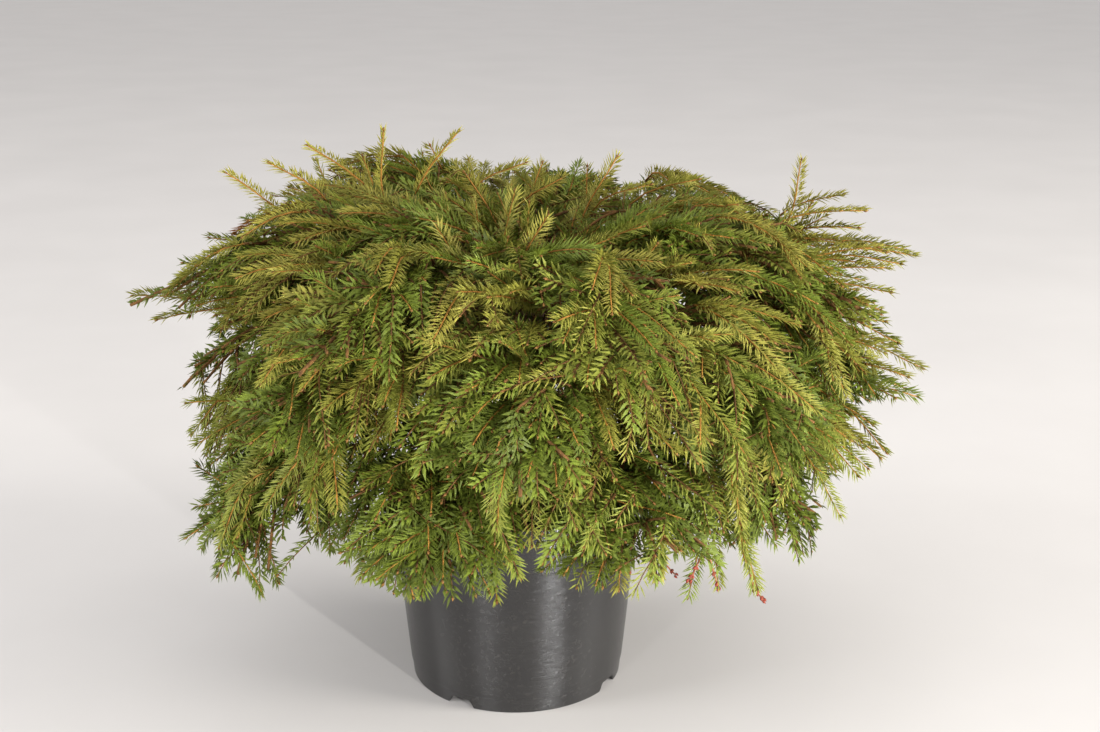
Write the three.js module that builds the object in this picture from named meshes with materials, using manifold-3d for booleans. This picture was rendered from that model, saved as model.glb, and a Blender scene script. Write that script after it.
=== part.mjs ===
// A weeping Norway spruce in a nursery container.
//
// Millimetres, +Z up, -Y to the front. The origin is on the ground under the middle of the pot.
// Every limb is one curve from the trunk to its tip. Its inner part is a bough, and its outer part is the
// stem of a mass of foliage. Side twigs grow from the stem by a seeded rule, and each one is a spray of
// needles: a three-sided twig with teeth. A mass keeps to the space that is nearer to its own stem than to
// any other, so neighbours never touch.

import * as THREE from "three";
import { mergeVertices } from "three/addons/utils/BufferGeometryUtils.js";
import Module from "manifold-3d";

const wasm = await Module();
wasm.setup();

// ---------------------------------------------------------------- driving dimensions

const GAP = 0.3; // clear space between two pieces that meet
const DEGREE = Math.PI / 180;
const FULL_TURN = 2 * Math.PI;

const POT = {
  height: 205,
  footRadius: 108.7,
  neckRadius: 126.4, // just under the rim
  rimRadius: 131,
  rimDepth: 22,
  wall: 2.4,
  floorTop: 11,
  floorUnderside: 8,
  footBand: 15, // height of the plain band round the foot
  bandStep: 0.8, // how far the wall stands out over that band
  lip: 1.2, // rounding of the rim's edges
  sides: 40,
  notches: 4,
  notchWidth: 30,
  notchHeight: 9,
  notchDraft: 4, // how much narrower a notch is at its top, each side
  notchInward: 16, // how far the cut runs in from the foot's edge
  notchOutward: 8, // and out beyond it
  notchBelow: 5, // and down below the ground
  firstNotch: -120 * DEGREE, // azimuth of a notch's middle
};

// The rings of its top are shares of its radius. dome is how far it rises to the trunk.
const SOIL = { top: 188, dome: 5, rings: [1, 0.6], roughness: 2.2 };

const TRUNK = {
  top: 430,
  radius: 12,
  tipRadius: 4.6,
  flareRadius: 21,
  flareHeight: 34,
  leanX: 9,
  leanY: -6,
  bow: 7, // sideways bow at half height
  sides: 8,
  lobes: 3, // ridges that run down into the roots
  lobeDepth: 0.12, // as a share of the radius
  rings: 7,
  ringCrowding: 1.6, // above 1 the rings lie closer together in the flare
};

const LIMB = {
  stemRadius: 3.1, // where a bough ends and its mass begins
  boughSides: 5,
  boughRings: 4,
  stemSides: 3,
  rootRise: 40, // a limb is well away from the trunk when it has risen this far
  stemFoot: [0, 0.06, 0.12], // rings of the stem's foot, as shares of the stem
  swing: 8, // degrees that a limb may bend sideways
  pull: 0.5, // how far the ends of a limb hold to their slopes, as a share of the limb
};

// A tier is a ring of limbs. Heights, reaches and radii are in mm, angles in degrees, azimuths from +X.
// azimuths, reaches and tips have one number for each limb: where it points, how far out it ends, how high.
// rise and fall are the slopes at the limb's root and tip, split is the bough's share of the limb.
// stride is the order in which the limbs of a tier leave the trunk, from the lowest up.
const TIERS = [
  {
    name: "skirt",
    azimuths: [-106, -63, -31, 13, 62, 110, 156, -145],
    reaches: [268, 280, 308, 330, 312, 308, 322, 305],
    tips: [200, 205, 195, 208, 195, 195, 195, 180],
    from: [214, 252],
    stride: 3,
    rise: 62,
    fall: -72,
    split: 0.36,
    radius: 5.2,
    core: 130,
    standing: 52,
  },
  {
    name: "side",
    azimuths: [-88, -47, -13, 32, 72, 112, 150, -171, -129],
    reaches: [330, 355, 350, 358, 345, 345, 345, 322, 318],
    tips: [318, 318, 322, 325, 325, 328, 335, 320, 322],
    from: [264, 304],
    stride: 4,
    rise: 64,
    fall: -48,
    split: 0.33,
    radius: 5.4,
    core: 132,
    standing: 52,
  },
  {
    name: "shoulder",
    azimuths: [-121, -70, -18, 32, 82, 130, -174],
    reaches: [325, 335, 350, 345, 335, 345, 368],
    tips: [402, 400, 405, 412, 412, 438, 398],
    from: [344, 376],
    stride: 3,
    rise: 58,
    fall: -24,
    split: 0.24,
    radius: 4.8,
    core: 128,
    standing: 44,
  },
  {
    name: "top",
    azimuths: [-96, 7, 106, -152],
    reaches: [200, 205, 205, 205],
    tips: [450, 446, 446, 458],
    from: [388, 408],
    stride: 1,
    rise: 52,
    fall: -14,
    split: 0.2,
    radius: 4.2,
    core: 112,
    standing: 40,
  },
];

// The mass on the trunk's own tip.
const LEADER = {
  azimuth: 130,
  reach: 50,
  tip: 470,
  stand: 24, // how far it goes straight up first
  core: 80,
  standing: 34,
};

// The seeded rule for side twigs: pairs leave the stem at nodes, and some stand up between them.
const TWIG = {
  nodes: [0.1, 0.32, 0.54, 0.74], // places of the pairs along a stem
  angle: [52 * DEGREE, 34 * DEGREE], // from the stem, at its root and at its tip
  lifts: [0.5, 0.12, 0.55, 0.1], // how far the pairs point up out of the stem's plane
  length: 66, // outside the core
  shortest: 34,
  droop: 0.0036, // bend towards the ground for each mm of length
  standing: [1, 2, 2, 2], // how many more twigs stand up from the stem at each node
  standingAngle: 40 * DEGREE,
  standingTurn: [18 * DEGREE, 12 * DEGREE], // how far they lean to a side, and how much that varies
  spread: { angle: 0.12, lift: 0.15, length: 0.15, standingAngle: 0.25 }, // how much the others vary
  steps: 6, // straight pieces along a twig
  tries: [1, 0.84, 0.68], // shares of its length that a twig is tried at
};

// A spray of needles as a solid: a three-sided twig with a row of teeth each side.
const SPRAY = {
  rowLength: 34,
  rowBeyond: 0.55, // length beyond the last tooth, in rows
  halfWidth: 18, // from the twig to the tip of a tooth
  narrowing: 0.22, // how much of that the last tooth loses
  valley: 5.4, // half the width between two teeth
  ridge: 3.2,
  thinning: 0.55, // how much of the last two is lost along the twig
  root: 2.4,
  forward: 12, // how far the tip of a tooth leans forward
  sag: 2.5, // and how far down
  sunk: 5,
};

// The dense core of a mass, as rings round its stem. out is towards the light, under towards the trunk.
const CORE = {
  shares: [0.04, 0.24, 0.46, 0.68, 0.85],
  widths: [0.5, 0.92, 1, 0.95, 0.6],
  out: 40,
  under: 54,
  sides: 8,
  fill: [0.84, 0.99], // of the space that is free
  search: 0.06, // step inward when a point isn't in free space, as a share of its distance
  least: 3.5, // the smallest radius of a ring
};

const CLEAR = {
  space: 1.6, // how much nearer a twig is to its own mass's stem than to any other
  core: 3.5, // the same for a point of a core
  limb: 3, // from foliage to a bough or the trunk
  pot: 4, // from foliage to the rim
  trunk: 0.45, // from a bough to the trunk
};

// What a number is drawn for, so that each draw has its own.
const DRAW = {
  swing: 4,
  angle: 5,
  lift: 6,
  length: 7,
  standingTurn: 8,
  standingAngle: 9,
  standingLength: 10,
  fill: 40,
};

// ---------------------------------------------------------------- small helpers

// A repeatable number from 0 to 1 for four whole numbers.
function chance(a, b = 0, c = 0, d = 0) {
  let h =
    Math.imul(a + 1, 0x9e3779b1) ^
    Math.imul(b + 1, 0x85ebca6b) ^
    Math.imul(c + 1, 0xc2b2ae35) ^
    Math.imul(d + 1, 0x27d4eb2f);
  h = Math.imul(h ^ (h >>> 15), 0x2c1b3c6d);
  h = Math.imul(h ^ (h >>> 12), 0x297a2d39);
  return ((h ^ (h >>> 15)) >>> 0) / 4294967296;
}

// The same, from -1 to 1.
const sway = (a, b, c, d) => 2 * chance(a, b, c, d) - 1;

const UP = new THREE.Vector3(0, 0, 1);
const range = (n) => Array.from({ length: n }, (_, i) => i);
const mix = THREE.MathUtils.lerp;
const polar = (azimuth, radius, z) =>
  new THREE.Vector3(
    radius * Math.cos(azimuth),
    radius * Math.sin(azimuth),
    z,
  );

// A closed mesh from rows of points, each row a ring, with the same number of points in each.
function skin(rings) {
  const sides = rings[0].length;
  const points = rings.flat();
  const faces = [];
  for (let r = 0; r + 1 < rings.length; r++)
    for (let s = 0; s < sides; s++) {
      const a = r * sides + s;
      const b = r * sides + ((s + 1) % sides);
      faces.push([a, b, b + sides], [a, b + sides, a + sides]);
    }
  const last = (rings.length - 1) * sides;
  for (let s = 1; s + 1 < sides; s++)
    faces.push([0, s + 1, s], [last, last + s, last + s + 1]);
  return solid(points, faces);
}

function solid(points, faces) {
  return new wasm.Manifold(
    new wasm.Mesh({
      numProp: 3,
      vertProperties: new Float32Array(points.flatMap((p) => [p.x, p.y, p.z])),
      triVerts: new Uint32Array(faces.flat()),
    }),
  );
}

// A three.js geometry, with the vertices that it repeats merged, as a solid.
function solidOf(geometry) {
  const bare = geometry.clone();
  bare.deleteAttribute("normal");
  bare.deleteAttribute("uv");
  const merged = mergeVertices(bare, 1e-3);
  return new wasm.Manifold(
    new wasm.Mesh({
      numProp: 3,
      vertProperties: merged.attributes.position.array,
      triVerts: new Uint32Array(merged.index.array),
    }),
  );
}

function geometryOf(body) {
  const mesh = body.getMesh();
  const geometry = new THREE.BufferGeometry();
  const stride = mesh.numProp;
  const positions = new Float32Array(mesh.numVert * 3);
  for (let i = 0; i < mesh.numVert; i++)
    positions.set(
      mesh.vertProperties.subarray(i * stride, i * stride + 3),
      i * 3,
    );
  geometry.setAttribute("position", new THREE.BufferAttribute(positions, 3));
  geometry.setIndex(new THREE.BufferAttribute(mesh.triVerts, 1));
  geometry.computeVertexNormals();
  return geometry;
}

const union = (bodies) => wasm.Manifold.union(bodies);

function corners(body) {
  const position = geometryOf(body).attributes.position;
  return range(position.count).map((i) => new THREE.Vector3().fromBufferAttribute(position, i));
}

// The frame of a twig that runs along a direction: over points up and away from the trunk, side is level.
// side, over and along are right-handed.
function frameOf(along, point) {
  const away = new THREE.Vector3(point.x, point.y, 0).normalize();
  away.z = 1;
  const side = new THREE.Vector3().crossVectors(away, along).normalize();
  const over = new THREE.Vector3().crossVectors(along, side);
  return { side, over };
}

// The same at a share of a curve's length, with the point and the direction there.
function frameAt(curve, share) {
  const middle = curve.getPointAt(share);
  const along = curve.getTangentAt(share);
  return { middle, along, ...frameOf(along, middle) };
}

// A round limb of changing thickness: a ring across the curve at each share of its length. A limb is never
// upright, so each ring has one corner level with its middle, and the rings don't turn against each other.
function tube(curve, shares, radii, sides) {
  const rings = shares.map((share, i) => {
    const middle = curve.getPointAt(share);
    const along = curve.getTangentAt(share);
    const side = new THREE.Vector3().crossVectors(UP, along).normalize();
    const over = new THREE.Vector3().crossVectors(along, side);
    return range(sides).map((s) => {
      const a = (FULL_TURN * s) / sides;
      return middle
        .clone()
        .addScaledVector(side, radii[i] * Math.cos(a))
        .addScaledVector(over, radii[i] * Math.sin(a));
    });
  });
  return skin(rings);
}

function distanceToLine(point, line) {
  let best = Infinity;
  const nearest = new THREE.Vector3();
  for (let i = 0; i + 1 < line.length; i++) {
    new THREE.Line3(line[i], line[i + 1]).closestPointToPoint(
      point,
      true,
      nearest,
    );
    best = Math.min(best, nearest.distanceTo(point));
  }
  return best;
}

// ---------------------------------------------------------------- pot and soil

const wallRadius = (z) =>
  mix(POT.footRadius, POT.neckRadius, z / (POT.height - POT.rimDepth));

function lathe(profile) {
  const points = profile.map(([r, z]) => new THREE.Vector2(r, z));
  const geometry = new THREE.LatheGeometry(points, POT.sides);
  geometry.rotateX(Math.PI / 2); // the lathe turns about Y
  return solidOf(geometry);
}

function makePot() {
  const { height, wall, lip, rimRadius, rimDepth, footBand, bandStep } = POT;
  const neck = height - rimDepth;
  const inside = (z) => wallRadius(z) - wall;
  const shell = lathe([
    [0, POT.floorUnderside],
    [POT.footRadius - 3 * wall, POT.floorUnderside],
    [POT.footRadius - 2 * wall, 0],
    [POT.footRadius - bandStep, 0],
    [wallRadius(footBand) - bandStep, footBand],
    [wallRadius(footBand), footBand + bandStep],
    [wallRadius(neck - 1), neck - 1],
    [rimRadius - lip, neck],
    [rimRadius - lip / 2, neck + lip],
    [rimRadius, height - 2 * lip],
    [rimRadius - lip, height],
    [rimRadius - 2 * wall, height],
    [inside(neck), neck],
    [inside(POT.floorTop), POT.floorTop],
    [0, POT.floorTop],
  ]);
  return shell.subtract(union(range(POT.notches).map(notch)));
}

// The space of one drain notch: a tapered block through the foot ring.
function notch(i) {
  const { notchWidth, notchHeight, notchDraft, notchInward, notchOutward, notchBelow } = POT;
  const outline = new THREE.Shape();
  const half = notchWidth / 2;
  outline.moveTo(-half, -notchBelow);
  outline.lineTo(half, -notchBelow);
  outline.lineTo(half, 0);
  outline.lineTo(half - notchDraft, notchHeight);
  outline.lineTo(notchDraft - half, notchHeight);
  outline.lineTo(-half, 0);
  const depth = notchInward + notchOutward;
  const block = new THREE.ExtrudeGeometry(outline, { depth, bevelEnabled: false });
  block.rotateX(Math.PI / 2);
  block.rotateZ(Math.PI);
  block.translate(0, POT.footRadius - notchInward, 0);
  block.rotateZ(POT.firstNotch + (FULL_TURN * i) / POT.notches - Math.PI / 2);
  return solidOf(block);
}

// Soil fills the pot, with a rough top that rises a little to the trunk.
function makeSoil() {
  const inner = (z) => wallRadius(z) - POT.wall - GAP;
  const ring = (radius, z, bump) =>
    range(POT.sides).map((s) =>
      // the lathe starts at +Y and turns towards +X
      polar(
        Math.PI / 2 - (FULL_TURN * s) / POT.sides,
        radius,
        z + bump * sway(s, Math.round(radius)),
      ),
    );
  const foot = POT.floorTop + GAP;
  const surface = SOIL.rings.map((share, i) =>
    ring(
      inner(SOIL.top) * share,
      SOIL.top + SOIL.dome * (1 - share),
      i ? SOIL.roughness : 0,
    ),
  );
  const rings = [ring(inner(foot), foot, 0), ...surface];
  return skin(rings.map((r) => r.reverse()));
}

// ---------------------------------------------------------------- trunk and limbs

function trunkPoint(z) {
  const t = (z - SOIL.top) / (TRUNK.top - SOIL.top);
  return new THREE.Vector3(
    TRUNK.leanX * t + TRUNK.bow * Math.sin(Math.PI * t),
    TRUNK.leanY * t,
    z,
  );
}

function trunkRadius(z) {
  const t = (z - SOIL.top) / (TRUNK.top - SOIL.top);
  const flare = Math.exp((SOIL.top - z) / (TRUNK.flareHeight / 2));
  return (
    mix(TRUNK.radius, TRUNK.tipRadius, t) +
    (TRUNK.flareRadius - TRUNK.radius) * flare
  );
}

const TRUNK_FOOT = SOIL.top + SOIL.dome + SOIL.roughness + GAP;

function trunkHeights() {
  return range(TRUNK.rings + 1).map((i) =>
    mix(TRUNK_FOOT, TRUNK.top, (i / TRUNK.rings) ** TRUNK.ringCrowding),
  );
}

// A tapering trunk with shallow ridges at its foot. extra makes it thicker all round.
function makeTrunk(extra = 0) {
  const rings = trunkHeights().map((z) => {
    const middle = trunkPoint(z);
    const depth = TRUNK.lobeDepth * (trunkRadius(z) / TRUNK.flareRadius);
    return range(TRUNK.sides).map((s) => {
      const azimuth = (FULL_TURN * s) / TRUNK.sides;
      const lobe = 1 + depth * Math.sin(TRUNK.lobes * azimuth);
      return polar(azimuth, trunkRadius(z) * lobe + extra, 0).add(middle);
    });
  });
  return skin(rings);
}

// One limb for each azimuth in each tier, as a smooth curve from the trunk to its tip.
function planLimbs() {
  const limbs = [];
  TIERS.forEach((tier, t) => {
    const { name, azimuths, reaches, tips, stride } = tier;
    const count = azimuths.length;
    azimuths.forEach((azimuth, i) => {
      const place = ((i * stride) % count) / (count - 1);
      const from = trunkPoint(mix(...tier.from, place));
      const swing = LIMB.swing * sway(t, i, DRAW.swing);
      limbs.push({
        ...tier,
        key: 10 * t + i,
        bough: `bough_${name}_${i + 1}`,
        mass: `foliage_${name}_${i + 1}`,
        curve: limbCurve(from, azimuth, reaches[i], tips[i], tier, swing),
      });
    });
  });
  return limbs;
}

function limbCurve(from, azimuth, reach, tip, { rise, fall }, swing) {
  const end = polar(azimuth * DEGREE, reach, tip);
  const pull = LIMB.pull * from.distanceTo(end);
  const heading = (turn, slope) =>
    polar(
      (azimuth + turn) * DEGREE,
      pull * Math.cos(slope * DEGREE),
      pull * Math.sin(slope * DEGREE),
    );
  const start = from.clone().add(heading(-swing, rise));
  const finish = end.clone().sub(heading(swing, fall));
  return new THREE.CubicBezierCurve3(from, start, finish, end);
}

// Points on a curve between two shares of its length.
function stretch(curve, a, b, steps) {
  return range(steps + 1).map((i) => curve.getPointAt(mix(a, b, i / steps)));
}

// A bough begins at a flat upright face, just clear of the trunk.
function makeBough({ curve, split, radius }, trunkClear) {
  const shares = range(LIMB.boughRings + 1).map((i) => i / LIMB.boughRings);
  const whole = tube(
    curve,
    shares.map((share) => share * split),
    shares.map((share) => mix(radius, LIMB.stemRadius, share)),
    LIMB.boughSides,
  );
  const heading = curve.getTangentAt(0).setZ(0).normalize();
  const low = curve.getPointAt(0).z - radius;
  const trunkNear = trunkClear
    .trimByPlane([0, 0, 1], low)
    .trimByPlane([0, 0, -1], -low - LIMB.rootRise);
  const face = Math.max(...corners(trunkNear).map((corner) => corner.dot(heading)));
  return whole.trimByPlane(heading.toArray(), face);
}

// ---------------------------------------------------------------- masses of foliage

// A side twig grows from a point in a direction, and bends towards the ground as it goes.
function grow(from, direction, length, droop) {
  const points = [from.clone()];
  const heading = direction.clone().normalize();
  const step = length / TWIG.steps;
  for (let i = 0; i < TWIG.steps; i++) {
    const level = Math.hypot(heading.x, heading.y);
    heading.z -= droop * step * level;
    heading.normalize();
    points.push(points[i].clone().addScaledVector(heading, step));
  }
  return points;
}

// The direction of a twig that leaves a stem at an angle, to one side, lifted out of the stem's plane.
function branchOff(along, point, angle, hand, lift) {
  const { side, over } = frameOf(along, point);
  return along
    .clone()
    .multiplyScalar(Math.cos(angle))
    .addScaledVector(side, hand * Math.sin(angle))
    .addScaledVector(over, lift)
    .normalize();
}

// A spray as a solid: cross-sections of a three-sided twig, with a tooth each side between them.
// It begins a given length along the twig, sunk a little into what is there.
function spray(curve, buried) {
  const length = curve.getLength();
  const rows = Math.max(2, Math.round((length - buried) / SPRAY.rowLength));
  const points = [];
  const faces = [];
  const at = range(rows + 1).map((i) => {
    const share = mix(buried / length, 1, i / (rows + SPRAY.rowBeyond));
    const { middle, along, side, over } = frameAt(curve, share);
    const thin = 1 - (SPRAY.thinning * i) / rows;
    if (!i) middle.addScaledVector(along, -SPRAY.sunk);
    const half = i ? SPRAY.valley * thin : SPRAY.root;
    const ridge = i ? SPRAY.ridge * thin : SPRAY.root;
    points.push(
      middle.clone().addScaledVector(side, half),
      middle.clone().addScaledVector(over, ridge),
      middle.clone().addScaledVector(side, -half),
    );
    return { along, side, over, middle };
  });
  faces.push([0, 2, 1]);
  for (let i = 0; i < rows; i++) {
    const [low, ridge, high] = [3 * i, 3 * i + 1, 3 * i + 2];
    const [lowNext, ridgeNext, highNext] = [low + 3, ridge + 3, high + 3];
    const { middle, along, side, over } = at[i + 1];
    const forward = SPRAY.forward - at[i].middle.distanceTo(middle) / 2;
    const reach = SPRAY.halfWidth * (1 - SPRAY.narrowing * (i / rows));
    const tooth = (hand) =>
      middle
        .clone()
        .addScaledVector(along, forward)
        .addScaledVector(side, hand * reach)
        .addScaledVector(over, -SPRAY.sag);
    const lowTooth = points.push(tooth(1)) - 1;
    const highTooth = points.push(tooth(-1)) - 1;
    faces.push(
      [ridge, lowTooth, low],
      [ridge, ridgeNext, lowTooth],
      [ridgeNext, lowNext, lowTooth],
      [ridge, high, highTooth],
      [ridge, highTooth, ridgeNext],
      [ridgeNext, highTooth, highNext],
      [low, lowTooth, lowNext],
      [high, highNext, highTooth],
      [low, highNext, high],
      [low, lowNext, highNext],
    );
  }
  const last = 3 * rows;
  const tip = points.push(curve.getPointAt(1)) - 1;
  faces.push(
    [last, last + 1, tip],
    [last + 1, last + 2, tip],
    [last + 2, last, tip],
  );
  return { points, faces };
}

// True where a point keeps to a mass's own space.
function inSpace(point, limb, plan, margin = CLEAR.space) {
  const own = distanceToLine(point, limb.stem) + margin;
  for (const other of plan.limbs) {
    if (other !== limb && distanceToLine(point, other.stem) < own) return false;
    const { boughLine, radius } = other;
    if (boughLine && distanceToLine(point, boughLine) < radius + CLEAR.limb) return false;
  }
  if (distanceToLine(point, plan.trunkLine) < TRUNK.radius + CLEAR.limb)
    return false;
  const overRim = point.z > POT.height + CLEAR.pot;
  return overRim || Math.hypot(point.x, point.y) > POT.rimRadius + CLEAR.pot;
}

// The core of a mass: rings across its stem, each point as far out as the ring's width and the mass's
// space allow.
function makeCore(limb, plan) {
  const rings = CORE.shares.map((share, r) => {
    const { middle, side, over } = frameAt(limb.curve, mix(limb.split, 1, share));
    return range(CORE.sides).map((k) => {
      const a = (FULL_TURN * k) / CORE.sides;
      const fill = mix(...CORE.fill, chance(limb.key, r, k, DRAW.fill));
      const wide = limb.core * CORE.widths[r];
      const deep = (a < Math.PI ? CORE.out : CORE.under) * CORE.widths[r];
      const spoke = side
        .clone()
        .multiplyScalar(wide * Math.cos(a))
        .addScaledVector(over, deep * Math.sin(a));
      const length = spoke.length();
      for (let reach = 1; reach * length > CORE.least; reach -= CORE.search) {
        const point = middle.clone().addScaledVector(spoke, reach);
        if (inSpace(point, limb, plan, CLEAR.core))
          return middle.clone().addScaledVector(spoke, reach * fill);
      }
      return middle.clone().addScaledVector(spoke, CORE.least / length);
    });
  });
  return skin(rings);
}

// The foot of a mass's stem, clear of the bough that it grows from. The rest is inside the core.
function makeFoot({ curve, start }) {
  const shares = LIMB.stemFoot.map((share) => mix(start, 1, share));
  const radii = shares.map(() => LIMB.stemRadius);
  return tube(curve, shares, radii, LIMB.stemSides);
}

// A mass grows from its stem: a leader at the tip, a pair of twigs at each node and some that stand up.
// A twig that would leave the mass's space is tried shorter, and is left out if that doesn't help.
function makeMass(limb, plan) {
  const { stem, key } = limb;
  const core = makeCore(limb, plan);
  const bodies = [makeFoot(limb), core];
  const surface = new THREE.Mesh(
    geometryOf(core),
    new THREE.MeshBasicMaterial({ side: THREE.DoubleSide }),
  );
  // outside is the length of twig beyond the core
  const add = (from, direction, outside) => {
    const [exit] = new THREE.Raycaster(from, direction).intersectObject(surface);
    const buried = exit ? exit.distance : 0;
    for (const share of TWIG.tries) {
      const length = outside * share;
      if (length < TWIG.shortest) return;
      const line = grow(from, direction, buried + length, TWIG.droop);
      const { points, faces } = spray(new THREE.CatmullRomCurve3(line), buried);
      if (!points.slice(3).every((p) => inSpace(p, limb, plan))) continue;
      bodies.push(solid(points, faces));
      return;
    }
  };

  const length = limb.curve.getLength();
  const insideCore = length * mix(limb.split, 1, CORE.shares.at(-1));
  const tip = spray(limb.curve, insideCore);
  bodies.push(solid(tip.points, tip.faces));
  const { spread, standingTurn } = TWIG;
  TWIG.nodes.forEach((node, n) => {
    const from = stem[n + 1];
    const along = stem[n + 2].clone().sub(stem[n]).normalize();
    for (const hand of [-1, 1]) {
      const draw = 2 * n + (hand + 1) / 2;
      const angle = mix(...TWIG.angle, node) * (1 + spread.angle * sway(key, draw, DRAW.angle));
      const lift = TWIG.lifts[n] + spread.lift * sway(key, draw, DRAW.lift);
      const outside = TWIG.length * (1 + spread.length * sway(key, draw, DRAW.length));
      add(from, branchOff(along, from, angle, hand, lift), outside);
    }
    for (let k = 0; k < TWIG.standing[n]; k++) {
      const turn = (k ? -1 : 1) * standingTurn[0] + standingTurn[1] * sway(key, n, k, DRAW.standingTurn);
      const steep = 1 + spread.standingAngle * sway(key, n, k, DRAW.standingAngle);
      const lift = Math.tan(TWIG.standingAngle * steep);
      const outside = limb.standing * (1 + spread.length * sway(key, n, k, DRAW.standingLength));
      add(from, branchOff(along, from, turn, 1, lift), outside);
    }
  });
  return union(bodies);
}

// ---------------------------------------------------------------- materials and the whole plant

const material = (color, roughness) =>
  new THREE.MeshStandardMaterial({ color, roughness, metalness: 0 });

const PLASTIC = material(0x3d3c3b, 0.35);
const PEAT = material(0x2b1d14, 0.95);
const BARK = material(0x6b4a33, 0.9);
const NEEDLES = material(0x59602a, 0.6);

const plant = new THREE.Group();

function addPiece(name, body, finish) {
  const mesh = new THREE.Mesh(geometryOf(body), finish);
  mesh.name = name;
  plant.add(mesh);
}

addPiece("pot", makePot(), PLASTIC);
addPiece("soil", makeSoil(), PEAT);
addPiece("trunk", makeTrunk(), BARK);

const limbs = planLimbs();
const trunkTip = trunkPoint(TRUNK.top).setZ(TRUNK.top + GAP);
limbs.push({
  ...LEADER,
  key: 90,
  split: 0,
  mass: "foliage_leader",
  curve: new THREE.CubicBezierCurve3(
    trunkTip,
    trunkTip.clone().setZ(TRUNK.top + LEADER.stand),
    polar(LEADER.azimuth * DEGREE, LEADER.reach / 2, LEADER.tip),
    polar(LEADER.azimuth * DEGREE, LEADER.reach, LEADER.tip),
  ),
});
for (const limb of limbs) {
  const { curve, split, bough } = limb;
  limb.start = split + (bough ? GAP / curve.getLength() : 0);
  limb.stem = [0, ...TWIG.nodes, 1].map((share) =>
    curve.getPointAt(mix(limb.start, 1, share)),
  );
  if (bough) limb.boughLine = stretch(curve, 0, split, LIMB.boughRings);
}
const plan = { limbs, trunkLine: trunkHeights().map(trunkPoint) };

const trunkClear = makeTrunk(CLEAR.trunk);
for (const limb of limbs) {
  if (limb.bough) addPiece(limb.bough, makeBough(limb, trunkClear), BARK);
  addPiece(limb.mass, makeMass(limb, plan), NEEDLES);
}

export default plant;
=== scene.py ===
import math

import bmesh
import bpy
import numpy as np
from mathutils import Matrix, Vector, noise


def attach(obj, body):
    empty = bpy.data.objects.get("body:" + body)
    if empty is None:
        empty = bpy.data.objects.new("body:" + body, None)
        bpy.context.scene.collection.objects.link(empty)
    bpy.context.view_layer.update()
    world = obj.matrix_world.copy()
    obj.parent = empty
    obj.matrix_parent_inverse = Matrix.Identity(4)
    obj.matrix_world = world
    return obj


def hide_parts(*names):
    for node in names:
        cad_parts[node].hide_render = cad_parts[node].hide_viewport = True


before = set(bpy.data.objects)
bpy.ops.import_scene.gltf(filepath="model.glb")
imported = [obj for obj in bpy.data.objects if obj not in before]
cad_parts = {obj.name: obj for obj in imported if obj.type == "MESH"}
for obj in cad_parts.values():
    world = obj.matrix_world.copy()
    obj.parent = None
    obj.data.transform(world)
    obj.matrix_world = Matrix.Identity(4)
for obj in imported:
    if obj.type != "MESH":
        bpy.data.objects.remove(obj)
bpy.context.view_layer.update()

# A weeping Norway spruce in a nursery container.
#
# The crown grows by one rule. Each limb is a curve from the trunk to its tip: its inner part is a bough, and
# its outer part is the stem of a mass of foliage. Branchlets leave the stem in pairs, and some stand up.
# Shoots leave the branchlets, and each shoot carries its needles in ranks with a parting along the top.
# The rule works in millimetres. Meshes are in metres.

MM = 0.001
DEG = math.pi / 180

# ---- sizes shared with the CAD source

POT = dict(
    height=205, foot=108.7, neck=126.4, rim=131, rim_depth=22, wall=2.4, floor_top=11, floor_under=8,
    band=15, step=0.8, lip=1.2, notches=4, notch_width=30, notch_height=9, notch_draft=4,
    first_notch=-120 * DEG,
)
SOIL_TOP = 188
SOIL_DOME = 5
TRUNK = dict(top=430, radius=12, tip=4.6, flare=21, flare_height=34, lean_x=9, lean_y=-6, bow=7, foot=195.5)
STEM_RADIUS = 3.1
GAP = 0.3
SWING = 8
PULL = 0.5
TIERS = [
    dict(
        name="skirt",
        azimuths=[-106, -63, -31, 13, 62, 110, 156, -145],
        reaches=[268, 280, 308, 330, 312, 308, 322, 305],
        tips=[200, 205, 195, 208, 195, 195, 195, 180],
        start=(214, 252), stride=3, rise=62, fall=-72, split=0.36, radius=5.2, core=130,
    ),
    dict(
        name="side",
        azimuths=[-88, -47, -13, 32, 72, 112, 150, -171, -129],
        reaches=[330, 355, 350, 358, 345, 345, 345, 322, 318],
        tips=[318, 318, 322, 325, 325, 328, 335, 320, 322],
        start=(264, 304), stride=4, rise=64, fall=-48, split=0.33, radius=5.4, core=132,
    ),
    dict(
        name="shoulder",
        azimuths=[-121, -70, -18, 32, 82, 130, -174],
        reaches=[325, 335, 350, 345, 335, 345, 368],
        tips=[402, 400, 405, 412, 412, 438, 398],
        start=(344, 376), stride=3, rise=58, fall=-24, split=0.24, radius=4.8, core=128,
    ),
    dict(
        name="top",
        azimuths=[-96, 7, 106, -152],
        reaches=[200, 205, 205, 205],
        tips=[450, 446, 446, 458],
        start=(388, 408), stride=1, rise=52, fall=-14, split=0.2, radius=4.2, core=112,
    ),
]
LEADER = dict(azimuth=130, reach=50, tip=470, stand=24, core=80)
NODES = [0.1, 0.32, 0.54, 0.74]
ANGLES = (52 * DEG, 34 * DEG)
LIFTS = [0.5, 0.12, 0.55, 0.1]
DROOP = 0.0036
STANDING = [1, 2, 2, 2]
STANDING_ANGLE = 40 * DEG
STANDING_TURN = (18 * DEG, 12 * DEG)
SPREAD = dict(angle=0.12, lift=0.15, standing=0.25)
CORE_SHARES = [0.04, 0.24, 0.46, 0.68, 0.85]
CORE_WIDTHS = [0.5, 0.92, 1, 0.95, 0.6]
CORE_OUT = 40
CORE_UNDER = 54

# ---- sizes of the finer growth

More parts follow.
